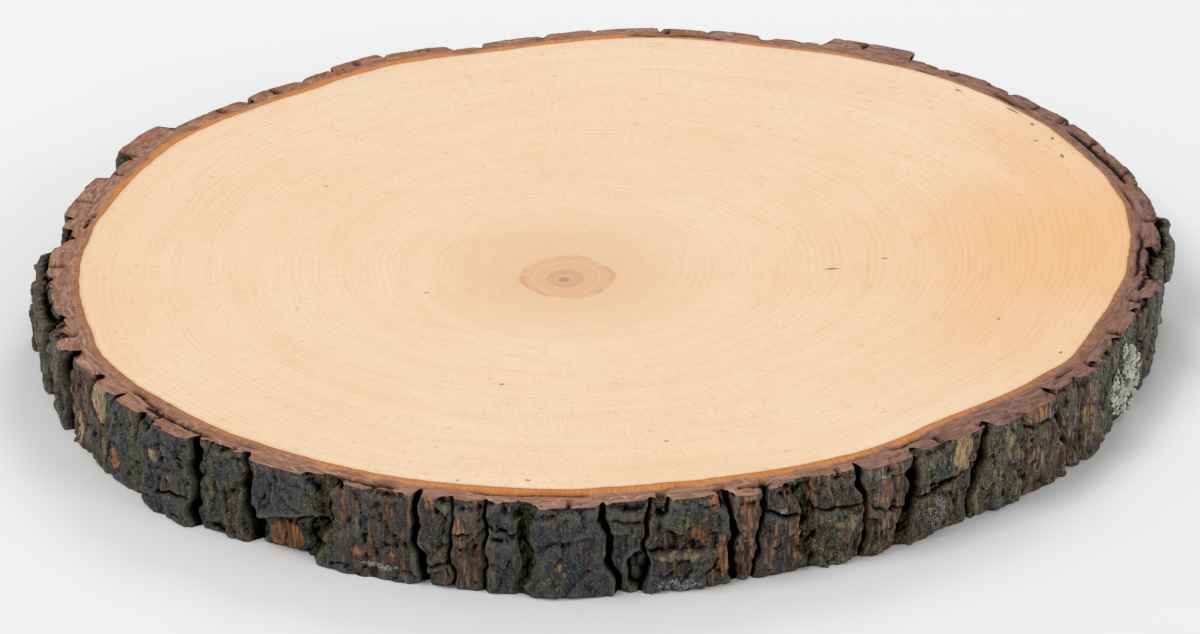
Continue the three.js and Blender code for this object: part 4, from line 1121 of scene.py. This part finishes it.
lichen_piece = joined_mesh("lichen_lobes", lobe_points.reshape(-1, 3), [
    ((one_lobe_quads[None] + first_point).reshape(-1, 4), 0),
    ((one_lobe_fans[None] + first_point).reshape(-1, 3), 0),
])
rim_share = np.concatenate([
    np.broadcast_to(ring, front.shape[:3]).reshape(LOBES, -1),
    np.broadcast_to(ring, front.shape[:3]).reshape(LOBES, -1),
    np.zeros((LOBES, 2)),
], axis=1)
lobe_tone = np.broadcast_to(chance.uniform(0, 1, (LOBES, 1)), rim_share.shape)
store(lichen_piece, "rim", rim_share.ravel())
store(lichen_piece, "tone", lobe_tone.ravel())

# Grey-green, paler and powdery towards the rims of the lobes.
lichen_material, tree, shader = new_material("lichen_crust")
object_place = add_node(tree, "TexCoord").outputs["Object"]
powder = speckle(tree, object_place, 1500, 3.0, 0.6)
patchy = speckle(tree, object_place, 240, 3.0)
colour = blend(tree, read(tree, "tone"), linear(168, 176, 152), linear(224, 228, 212))
colour = blend(tree, eased(tree, patchy, 0.45, 0.7, 0.0, 0.5), colour, linear(138, 146, 104))
whitened = maths(tree, "MULTIPLY", eased(tree, read(tree, "rim"), 0.3, 1.0), eased(tree, powder, 0.3, 0.6))
colour = blend(tree, maths(tree, "MULTIPLY", whitened, 0.8), colour, linear(238, 240, 230))
bump = add_node(tree, "Bump", {"Strength": 0.5, "Distance": 0.0003, "Height": powder})
wire(
    tree, shader, Base_Color=colour, Roughness=eased(tree, powder, 0.3, 0.7, 0.8, 0.95),
    Normal=bump.outputs[0],
)
lichen_piece.data.materials.append(lichen_material)
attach(lichen_piece, "root")
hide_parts("lichen")


# ---------------------------------------------------------------------------------------------
# The studio: a plain pale floor, light from a bright room, a large soft lamp up to the front left
# and a weaker one to the right.

FLOOR_HALF = 4000.0
corners = np.array([[-1, -1, 0], [1, -1, 0], [1, 1, 0], [-1, 1, 0]]) * FLOOR_HALF
floor = joined_mesh("floor", corners, [(np.array([[0, 1, 2, 3]]), 0)], smooth=False)
floor_material, tree, shader = new_material("pale_floor")
object_place = add_node(tree, "TexCoord").outputs["Object"]
faint = speckle(tree, object_place, 3, 2.0)
floor_colour = blend(tree, faint, linear(247, 247, 246), linear(250, 250, 250))
floor_gloss = eased(tree, faint, 0.3, 0.7, 0.85, 0.9)
wire(tree, shader, Base_Color=floor_colour, Roughness=floor_gloss, Specular_IOR_Level=0.1)
floor.data.materials.append(floor_material)

scene = bpy.context.scene
scene.view_settings.view_transform = "Standard"
world = bpy.data.worlds.new("studio")
world.use_nodes = True
world.node_tree.nodes["Background"].inputs["Color"].default_value = (0.97, 0.985, 1.0, 1.0)
world.node_tree.nodes["Background"].inputs["Strength"].default_value = 0.45
scene.world = world


def soft_lamp(name, place, size, power):
    """A square lamp at a place in metres, turned to face the slice."""
    lamp = bpy.data.lights.new(name, "AREA")
    lamp.size = size
    lamp.energy = power
    thing = bpy.data.objects.new(name, lamp)
    thing.location = place
    away = np.array(place) / np.linalg.norm(place)
    thing.rotation_euler = (math.acos(away[2]), 0, math.atan2(away[1], away[0]) + math.pi / 2)
    scene.collection.objects.link(thing)


soft_lamp("key_lamp", (-1.1, -0.5, 2.0), 1.0, 19.0)
soft_lamp("side_lamp", (1.4, -1.2, 0.9), 0.7, 7.0)
soft_lamp("back_lamp", (0.3, 1.3, 1.2), 0.7, 7.0)

# The camera stands at the front, 26.4 degrees above the level of the floor, with a long lens.
RISE = math.radians(26.4)
AIM = (-0.002, -0.0259, 0.015)
DISTANCE = 1.5
camera = bpy.data.objects.new("camera", bpy.data.cameras.new("camera"))
camera.location = (AIM[0], AIM[1] - DISTANCE * math.cos(RISE), AIM[2] + DISTANCE * math.sin(RISE))
camera.rotation_euler = (math.pi / 2 - RISE, 0, 0)
camera.data.sensor_width = 36
camera.data.lens = 136.5
scene.collection.objects.link(camera)
scene.camera = camera
